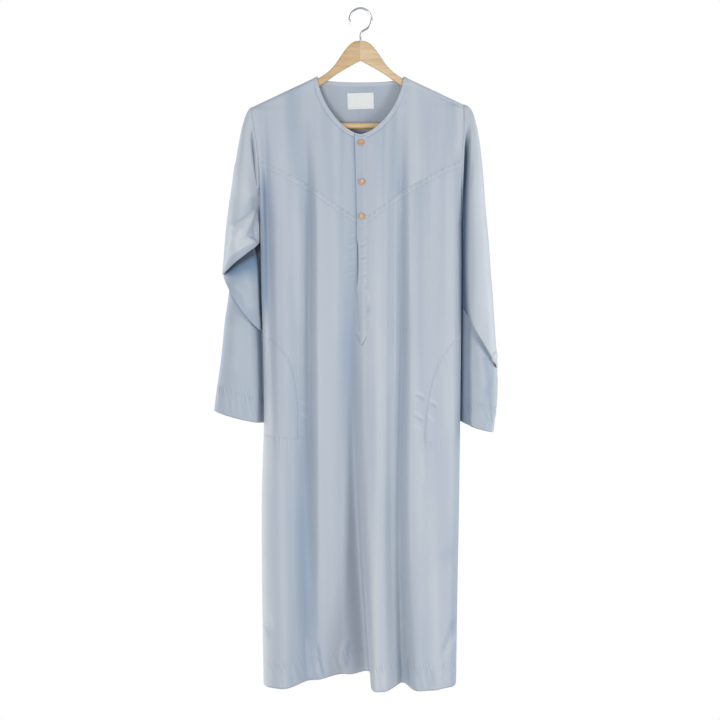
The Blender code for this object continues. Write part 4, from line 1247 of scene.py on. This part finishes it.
def make_band():
    s, back = [np.array(column)[:, None] for column in zip(*band_stations())]
    turns = circle(20)
    margin = BAND / 2 - (BAND / 2 + 0.25) * rounded(np.cos(turns), 0.75)

    def place(m):
        m = np.broadcast_to(m, (len(s), np.size(m)))
        x, z = np.where(back, neck_edge(s, m, True), neck_edge(s, m, False))
        share = x / half_width(z, x)
        return np.where(back[..., None], body(share, z, True), body(share, z, False))
    edge_in, middle, edge_out = [place(m)[:, 0] for m in (0.0, BAND / 2, float(BAND))]
    out = np.cross(edge_out - edge_in, np.gradient(middle, axis=0))
    out /= np.linalg.norm(out, axis=1, keepdims=True)
    groove = 0.28 * sum(bell(margin - at, 0.7) for at in BAND_STITCH)
    gather = 0.16 * waves(running_length(middle)[:, None] + margin * 0.7, 6, 25) * bell(margin - 4, 3.2)
    rise = BAND_THICK * rounded(np.sin(turns), 0.55) + np.where(np.sin(turns) > 0, gather - groove, 0)
    rings = place(margin) + out[:, None, :] * rise[..., None]
    rows = [(place(m)[:, 0] + out * (BAND_THICK - 0.05), out) for m in BAND_STITCH]
    return tube_mesh("robe_neckband", rings, robe_cloth), rows


neckband, band_rows = make_band()
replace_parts(neckband, "neck_binding")
tell(neckband)

# %% [markdown]
# ## Pocket bags, label and buttons
# The pockets hang inside, so only their stitch line shows on the front. The label is a small woven piece sewn
# on at its edges, left bare. A button is turned from wood, with a rounded rim, a dish, two holes and a
# thread through them.

# %% Pocket bags
# Heights, and how far off the middle each bag's inner edge lies there.
POCKET_HEIGHTS = (-648, -672, -693, -719, -744, -775, -813, -868)
POCKET_INNER = {
    -1: (188, 174, 154, 143, 137, 133, 130, 131),
    1: (190, 187, 173, 159, 150, 143, 137, 133),
}
BAG_TOP, BAG_LOW = -650, -867
BAG_OUT, BAG_BEHIND = 0.945, 2.9        # share of the half width where a bag ends; how far it lies inside
for name, side in (("pocket_right", -1), ("pocket_left", 1)):
    share, z = np.meshgrid(np.linspace(0, 1, 26), np.linspace(BAG_TOP, BAG_LOW, 60))
    inner = at_height(list(zip(POCKET_HEIGHTS, POCKET_INNER[side])), z)
    x = inner + (half_width(z, np.full(z.shape, side)) * BAG_OUT - inner) * share
    drop = -BAG_BEHIND + 0.5 * uneven(x, z, 16, 40, 70 + side)
    pocket = cloth_mesh("robe_" + name, lifted(side * x, z, drop)[:, ::side], robe_cloth)
    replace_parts(pocket, name)
    tell(pocket)

# %% The label
LABEL = (-27, 27, -163.5, -196)         # from x, to x, top, bottom
LABEL_SIZE = (54, 32)                   # for the rounding of its edges
LABEL_TURN, LABEL_PIVOT = 0.03, -180    # it was sewn on a little askew
label_cloth = cloth_finish("label weave", (0.80, 0.80, 0.79), (0.74, 0.74, 0.735), hollow=(1, 1, 1),
                           thread=0.3, sheen=0.2, roughness=0.55)


def label_points(share_x, share_z):
    x = LABEL[0] + (LABEL[1] - LABEL[0]) * share_x
    z = LABEL[2] + (LABEL[3] - LABEL[2]) * share_z
    edge_x, edge_z = [np.minimum(share, 1 - share) for share in (share_x, share_z)]
    edge = np.minimum(edge_x * LABEL_SIZE[0], edge_z * LABEL_SIZE[1])
    puff = 0.5 * fade(edge, 0, 5) + 0.12 * waves(x + z, 9, 4) * fade(edge, 0, 2)
    return lifted(x - (z - LABEL_PIVOT) * LABEL_TURN, z + x * LABEL_TURN, 0.75 + puff, back=True)


points = label_points(*np.meshgrid(np.linspace(0, 1, 46), np.linspace(0, 1, 28)))
label = cloth_mesh("robe_label", points, label_cloth, thick=0.45)
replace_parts(label, "neck_label")
tell(label)

# %% Wood finishes
def wood_finish(name, light, dark, turn, rings=1.0, roughness=0.42):
    """Planed wood; turn leans the grain in the front plane."""
    made, tree, shader = new_finish(name, Roughness=roughness, Coat_Weight=0.25, Coat_Roughness=0.3)
    spot = node(tree, "ShaderNodeTexCoord").outputs["Object"]
    coarse_place, fine_place = [
        node(tree, "ShaderNodeMapping", {0: spot, "Rotation": (0, turn, 0), "Scale": scale})
        for scale in ((14 * rings, 60, 260 * rings), (60, 900, 1600))]
    grain, fine = noise(tree, coarse_place, 1, 4), noise(tree, fine_place, 1)
    both = maths(tree, "MULTIPLY_ADD", fine, 0.35, maths(tree, "MULTIPLY", grain, 0.65))
    ramp = node(tree, "ShaderNodeValToRGB", {0: both})
    for stop, position, colour in zip(ramp.color_ramp.elements, (0.36, 0.62), (dark, light)):
        stop.position, stop.color = position, (*colour, 1)
    wear(tree, shader, ramp.outputs[0], fine, 0.2, 0.0003)
    return made


dark_wood = wood_finish("hanger wood", (0.66, 0.46, 0.25), (0.53, 0.34, 0.165), 0.75)
light_wood = wood_finish("hanger wood lighter", (0.74, 0.55, 0.33), (0.60, 0.41, 0.215), -0.62)
bar_wood = wood_finish("bar wood", (0.80, 0.55, 0.28), (0.68, 0.44, 0.20), 0)
button_wood = wood_finish("button wood", (0.64, 0.38, 0.20), (0.46, 0.25, 0.12), 0.2, rings=4, roughness=0.35)
print("wood finishes ready")

# %% The buttons
BUTTONS = [(2, -264, 0.4), (4, -342, -0.15), (4, -411, 0.9)]     # x, z, turn of its holes
BUTTON_RADIUS, BUTTON_THICK = 6.5, 2.6
HOLE_RADIUS, HOLE_OFF = 0.75, 1.5
DISH = 0.68 * BUTTON_THICK              # height of the dish's floor
button_thread = plain_finish("button thread", (0.86, 0.77, 0.64), (0.74, 0.64, 0.52), 900, Roughness=0.75)
# Shares of the radius and of the thickness, from the back over the rim to the dish.
PROFILE = [(0.55, -0.02), (0.90, 0), (0.97, 0.12), (1, 0.34), (0.99, 0.56), (0.95, 0.78), (0.88, 0.93),
           (0.80, 0.98), (0.73, 0.95), (0.68, 0.84), (0.62, 0.74), (0.5, 0.70)]


def button_frame(x, z):
    """Middle of a button's back and its three directions, from the cloth under it."""
    spots = lifted(np.array([x, x + 5.0, x]), np.array([z, z, z + 5.0]), np.full(3, 2.35))
    right = spots[1] - spots[0]
    right /= np.linalg.norm(right)
    out = np.cross(right, spots[2] - spots[0])
    out /= np.linalg.norm(out)
    return spots[0], right, np.cross(out, right), out


def make_button(number, place, turn):
    """A turned disc with two holes: rings of points outside, and a face filled in round the holes."""
    base, right, up, out = place
    mesh = bmesh.new()
    angles = [step + turn for step in circle(64)]

    def ring(radius, height, angles=angles, centre=(0, 0)):
        spots = [base + right * (centre[0] + math.cos(a) * radius) + up * (centre[1] + math.sin(a) * radius)
                 + out * height for a in angles]
        return [mesh.verts.new(spot * MM) for spot in spots]

    def wall(low, high):
        for step in range(len(low)):
            mesh.faces.new((low[step - 1], low[step], high[step], high[step - 1]))
    rings = [ring(radius * BUTTON_RADIUS, height * BUTTON_THICK) for radius, height in PROFILE]
    for low, high in zip(rings, rings[1:]):
        wall(low, high)
    mesh.faces.new(rings[0][::-1])
    rims = [rings[-1]]
    for sign in (-1, 1):
        centre = (math.cos(turn) * HOLE_OFF * sign, math.sin(turn) * HOLE_OFF * sign)
        rim, floor = [ring(HOLE_RADIUS, height, angles[::4], centre) for height in (DISH, DISH / 4)]
        wall(floor, rim)
        mesh.faces.new(floor)
        rims.append(rim)
    edges = [mesh.edges.get((rim[step - 1], rim[step])) for rim in rims for step in range(len(rim))]
    bmesh.ops.triangle_fill(mesh, edges=edges, use_beauty=True)
    bmesh.ops.recalc_face_normals(mesh, faces=mesh.faces)
    return finish_mesh("wood_button_%d" % number, mesh, button_wood, 40)


def make_button_thread(number, place, turn):
    """A flat bow of thread from one hole to the other."""
    base, right, up, out = place
    line = right * math.cos(turn) + up * math.sin(turn)
    side = up * math.cos(turn) - right * math.sin(turn)
    rings = []
    for step in np.linspace(-1, 1, 13):
        middle = base + line * step * (HOLE_OFF + 0.15) + out * (0.55 + 1.55 * (1 - abs(step) ** 5))
        rings.append([middle + (side * math.cos(a) * 0.55 + out * math.sin(a) * 0.35) for a in circle(8)])
    return tube_mesh("button_thread_%d" % number, np.array(rings), button_thread)


for number, (x, z, turn) in enumerate(BUTTONS, 1):
    place = button_frame(x, z)
    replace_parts(make_button(number, place, turn), "button_%d" % number)
    make_button_thread(number, place, turn)
print("buttons", len(BUTTONS))

# %% [markdown]
# ## The hanger
# Two flat wooden halves are glued together under the hook, and a round bar joins their ends. Each half is a
# loft through a table of sections with softened edges, and the hook is bent wire.

# %% The hanger
HANGER_HALF, ARM_ROUNDING = 5.6, 0.42
BAR_HALF, BAR_RADIUS, BAR_Z = 185.4, 6.0, -230
HOOK_INSIDE, WIRE = 20, 2               # radius inside the hook, and of its wire
HOOK_START, HOOK_SWEEP, HOOK_STEPS = -62, 267, 60       # degrees
# distance from the centre, top, bottom, share of the full thickness
HANGER_ARM = [
    (0.15, -61, -101, 1), (10, -62.5, -106, 1), (19, -67, -111, 1),
    (31, -79.5, -117.5, 1), (40, -92, -122.5, 1), (52, -109, -130, 1),
    (69, -125.5, -142, 1), (87, -136.4, -153, 1), (120, -151, -171, 1),
    (160, -168.8, -190, 1), (182, -178.4, -201.5, 1), (188, -181.2, -236, 1),
    (198, -186.4, -246, 1), (209, -194, -242, 0.92), (216, -202, -232, 0.75),
    (218.5, -208, -224, 0.5),
]


def make_arm(name, side, finish):
    x = spaced(0.05, (45, 34), (180, 50), (218.5, 30))[:, None]
    top, low, thick = [at_place(HANGER_ARM, x, column) for column in (1, 2, 3)]
    turns = circle(28)
    across = rounded(np.cos(turns), ARM_ROUNDING) * HANGER_HALF * thick
    up = (top + low) / 2 + rounded(np.sin(turns), ARM_ROUNDING) * (top - low) / 2
    return tube_mesh(name, np.stack([np.broadcast_to(side * x, up.shape), across, up], -1), finish)


for name, side, finish in (("hanger_arm_right", -1, dark_wood), ("hanger_arm_left", 1, light_wood)):
    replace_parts(make_arm("wood_" + name, side, finish), name)


def rod_rings(path, radius, sides):
    """Rings of points round a path in the front plane."""
    path = np.asarray(path, float)
    along = np.gradient(path, axis=0)
    along /= np.linalg.norm(along, axis=1, keepdims=True)
    across = np.array((0.0, 1.0, 0.0))
    turns = circle(sides)[None, :, None]
    ring = np.cos(turns) * across + np.sin(turns) * np.cross(along, across)[:, None, :]
    return path[:, None, :] + ring * np.asarray(radius)[..., None, None]


bar_x = spaced(-BAR_HALF, (BAR_HALF, 40))
bar_rings = rod_rings([(x, 0, BAR_Z) for x in bar_x], np.full(len(bar_x), BAR_RADIUS), 32)
bar = tube_mesh("wood_bar", bar_rings, bar_wood)
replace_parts(bar, "hanger_bar")
steel = plain_finish("hook steel", (0.66, 0.66, 0.67), (0.56, 0.56, 0.58), 120, Metallic=1.0, Roughness=0.22)
hook_path = [(0, 0, -60.2), (0, 0, -56), (0, 0, -52), (0.3, 0, -49.4), (1.2, 0, -46.6), (2.8, 0, -44.2),
             (5, 0, -42.2)]
for step in range(HOOK_STEPS + 1):
    angle = math.radians(HOOK_START + HOOK_SWEEP * step / HOOK_STEPS)
    bend = HOOK_INSIDE + WIRE
    hook_path.append((bend * math.cos(angle), 0, bend * math.sin(angle) - HOOK_INSIDE))
hook_radius = np.full(len(hook_path), float(WIRE))
hook_radius[-3:] = (1.85, 1.5, 0.9)     # its rounded end
hook = tube_mesh("steel_hook", rod_rings(hook_path, hook_radius, 20), steel)
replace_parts(hook, "hanger_hook")
print("hanger pieces 4")

# %% [markdown]
# ## Stitches
# Every visible row of stitching is a line laid on the cloth. Geometry Nodes set one small thread on it every
# few millimetres, lying along the row with its flat side on the cloth.

# %% Nodes that sew along rows
def stitch_nodes():
    """Node group: rows of edges in, one thread for each stitch out."""
    group = bpy.data.node_groups.new("stitch rows", "GeometryNodeTree")
    for name, kind in (("Rows", "Geometry"), ("Spacing", "Float"), ("Stitch length", "Float"),
                       ("Thread width", "Float"), ("Thread", "Material")):
        group.interface.new_socket(name, in_out="INPUT", socket_type="NodeSocket" + kind)
    group.interface.new_socket("Stitches", in_out="OUTPUT", socket_type="NodeSocketGeometry")
    given = node(group, "NodeGroupInput").outputs
    curve = node(group, "GeometryNodeMeshToCurve", {"Mesh": given["Rows"]})
    places = node(group, "GeometryNodeResampleCurve",
                  {"Curve": curve, "Length": given["Spacing"]}, mode="LENGTH")
    # Each thread lies along its row, with its flat side on the cloth.
    tangent = node(group, "GeometryNodeInputTangent")
    along = node(group, "FunctionNodeAlignRotationToVector", {"Vector": tangent}, axis="X")
    outward = node(group, "GeometryNodeInputNamedAttribute", {"Name": "cloth_out"}, data_type="FLOAT_VECTOR")
    flat = node(group, "FunctionNodeAlignRotationToVector",
                {"Rotation": along, "Vector": outward.outputs["Attribute"]}, axis="Z", pivot_axis="X")
    bead = node(group, "GeometryNodeMeshUVSphere", {"Segments": 8, "Rings": 6, "Radius": 0.5})
    size = node(group, "ShaderNodeCombineXYZ",
                {0: given["Stitch length"], 1: given["Thread width"], 2: given["Thread width"]})
    thread = node(group, "GeometryNodeTransform", {"Geometry": bead, "Scale": size})
    change = node(group, "FunctionNodeRandomValue", {2: 0.85, 3: 1.1, "Seed": 4}, data_type="FLOAT")
    sewn = node(group, "GeometryNodeInstanceOnPoints",
                {"Points": places, "Instance": thread, "Rotation": flat, "Scale": change.outputs[1]})
    whole = node(group, "GeometryNodeRealizeInstances", {0: sewn})
    smooth = node(group, "GeometryNodeSetShadeSmooth", {0: whole})
    coloured = node(group, "GeometryNodeSetMaterial", {"Geometry": smooth, "Material": given["Thread"]})
    node(group, "NodeGroupOutput", {"Stitches": coloured})
    return group


SEW = stitch_nodes()
thread_finish = plain_finish("stitch thread", (0.62, 0.655, 0.70), (0.56, 0.60, 0.65), 400, Roughness=0.6,
                             Sheen_Weight=0.4)
pocket_thread = plain_finish("pocket thread", (0.36, 0.405, 0.465), (0.32, 0.365, 0.43), 400, Roughness=0.7)


def sew(name, rows, spacing=3.2, length=2.5, width=0.55, thread=thread_finish):
    """One piece with a thread every spacing millimetres along rows of (points, outward directions)."""
    mesh = bpy.data.meshes.new(name)
    points, out = [np.concatenate(parts) for parts in zip(*rows)]
    ends = np.cumsum([len(row) for row, _ in rows])
    steps = [(step, step + 1) for step in range(len(points) - 1) if step + 1 not in ends]
    mesh.from_pydata(points * MM, steps, [])
    mesh.attributes.new("cloth_out", "FLOAT_VECTOR", "POINT")
    mesh.attributes["cloth_out"].data.foreach_set("vector", out.astype(np.float32).ravel())
    made = linked(name, mesh)
    modifier = made.modifiers.new("sew", "NODES")
    modifier.node_group = SEW
    inputs = [item.identifier for item in SEW.interface.items_tree if item.in_out == "INPUT"]
    for identifier, value in zip(inputs[1:], (spacing * MM, length * MM, width * MM, thread)):
        modifier[identifier] = value
    graph = bpy.context.evaluated_depsgraph_get()
    baked = bpy.data.meshes.new_from_object(made.evaluated_get(graph), depsgraph=graph)
    made.modifiers.clear()
    made.data = baked
    bpy.data.meshes.remove(mesh)
    print(name, len(baked.polygons), "faces")


# %% Sew the rows
def body_row(line, relief, lift=0.3, back=False):
    """A row of stitching on the body's cloth, along a line of (x, z)."""
    line = np.asarray(line, float)
    run = running_length(line)
    at = np.arange(0, run[-1], 2.0)
    x, z = smooth_table(run, line[:, 0], at), smooth_table(run, line[:, 1], at)
    low, high = [lifted(x, z, np.full(x.shape, off), back, relief) for off in (0.0, 1.0)]
    out = high - low
    return low + out * lift, out


def ring_row(points, up_from_edge):
    """A row of stitching round a sleeve, at a distance from its edge."""
    up = above_edge(points)
    column = np.arange(points.shape[1])
    below = np.argmax(up < up_from_edge, 0)
    t = ((up[below - 1, column] - up_from_edge) / (up[below - 1, column] - up[below, column]))[:, None]
    row = points[below - 1, column] * (1 - t) + points[below, column] * t
    row, out = [np.concatenate([part, part[:1]]) for part in (row, ring_normals(points)[below, column])]
    return row + out * 0.32, out


def moved(line, down):
    return [(x, z - down) for x, z in line]


half_v = [point for point in V_SEAM if point[0] > 11.5]         # outside the placket
v_rows = []
for side in (-1, 1):
    line = [(side * x, z) for x, z in half_v]
    v_rows += [body_row(moved(line, down), front_relief) for down in (1.8, SECOND_ROW)]
sew("stitches_v_seam", v_rows)
placket_row = body_row([(4, -438), (6, -475), (8, -535), (10.5, -575), (11, -640)], None, lift=1.5)
left_row = body_row([(-10.2, -256), (-7.6, -330), (-5.4, -418), (-5.2, -440)], None, lift=1.8)
sew("stitches_placket", [placket_row, left_row, body_row(TIP, front_relief, lift=0.5)])
sew("stitches_neckband", band_rows, spacing=2.8, length=2.1, width=0.5)
hem_row = [(-199, HEM_STITCH), (0, HEM_STITCH), (200, HEM_STITCH)]
sew("stitches_hem", [body_row(hem_row, front_relief), body_row(hem_row, back_relief, back=True)])
sew("stitches_cuffs", [ring_row(rings, CUFF_STITCH) for rings in sleeve_rings])
sew("stitches_pockets", [body_row(line, front_relief) for side in (-1, 1)
                         for line in (POCKETS[side], POCKET_FOOT[side])],
    spacing=2.6, length=2.4, width=0.9, thread=pocket_thread)

# %% [markdown]
# ## Slots and bodies
# A table lists material slots by the start of a piece's name, and every piece that rides on no body yet is
# attached to the root body.

# %% Slots and bodies
# start of a piece's name, and the slot that holds its material
SLOTS = {"robe_label": "label_cloth", "robe_": "robe_cloth", "stitches_": "robe_cloth",
         "wood_button": "button_wood", "wood_hanger_arm_left": "hanger_wood_light",
         "wood_hanger": "hanger_wood", "wood_bar": "hanger_wood"}
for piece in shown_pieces():
    for start, slot in SLOTS.items():
        if piece.name.startswith(start):
            break
    if body_of(piece) is None:
        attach(piece, "root")

# %% [markdown]
# ## Floor, light and camera
# The robe hangs in a white studio above a pale floor. A soft light stands in front on the left, another one
# on the right, a narrow one behind each side draws the edges, and the white room fills the rest.

# %% Floor, light and camera
FLOOR, FLOOR_RADIUS = -1.9, 0.85
floor_mesh = bpy.data.meshes.new("studio_floor")
rim = [(FLOOR_RADIUS * math.cos(a), FLOOR_RADIUS * math.sin(a), FLOOR) for a in circle(96)]
floor_mesh.from_pydata(rim, [], [tuple(range(len(rim)))])
pale = plain_finish("pale floor", (0.86, 0.86, 0.85), (0.82, 0.82, 0.82), 6, Roughness=0.9)
floor_mesh.materials.append(pale)
linked("studio_floor", floor_mesh)


def area_light(name, place, aim, size, power, colour):
    light = bpy.data.lights.new(name, "AREA")
    light.shape = "RECTANGLE"
    light.size, light.size_y = size
    light.energy, light.color = power, colour
    made = linked(name, light)
    made.location = place
    made.rotation_euler = (Vector(aim) - Vector(place)).to_track_quat("-Z", "Y").to_euler()


world = bpy.data.worlds.new("studio")
bpy.context.scene.world = world
world.use_nodes = True
room = world.node_tree
shown = room.nodes["Background"]
shown.inputs[0].default_value, shown.inputs[1].default_value = (1, 1, 1, 1), 1.0
# The camera sees plain white. The room's own light is cooler, and its walls are brighter than its ceiling.
way = node(room, "ShaderNodeSeparateXYZ", {0: node(room, "ShaderNodeTexCoord").outputs["Generated"]})
ceiling = node(room, "ShaderNodeMapRange", enumerate((way.outputs[2], 0.0, 0.9, 0.55, 0.50)))
fill = node(room, "ShaderNodeBackground", {0: (0.86, 0.945, 1.03, 1), 1: ceiling})
seen = node(room, "ShaderNodeLightPath").outputs["Is Camera Ray"]
choose = node(room, "ShaderNodeMixShader", enumerate((seen, fill, shown)))
room.links.new(choose.outputs[0], room.nodes["World Output"].inputs[0])
area_light("key", (-1.0, -2.8, -0.5), (0, 0, -0.8), (0.9, 0.9), 31.5, (1.0, 0.965, 0.93))
area_light("side", (2.3, -2.0, -0.6), (0.1, 0, -0.8), (1.0, 1.3), 33, (1.0, 0.975, 0.95))
for side in (-1, 1):
    area_light("rim", (side * 2.0, 0.9, -0.7), (0, 0, -0.7), (0.8, 1.6), 20, (0.99, 0.98, 0.98))

camera_data = bpy.data.cameras.new("camera")
camera_data.lens = 63.1
camera_data.sensor_width = 36
camera_data.shift_x = -0.5 / 720
camera = linked("camera", camera_data)
camera.location = (0, -2.6, -0.3383)
camera.rotation_euler = (math.radians(90 - 8.12), 0, 0)
bpy.context.scene.camera = camera
bpy.context.scene.view_settings.view_transform = "Standard"
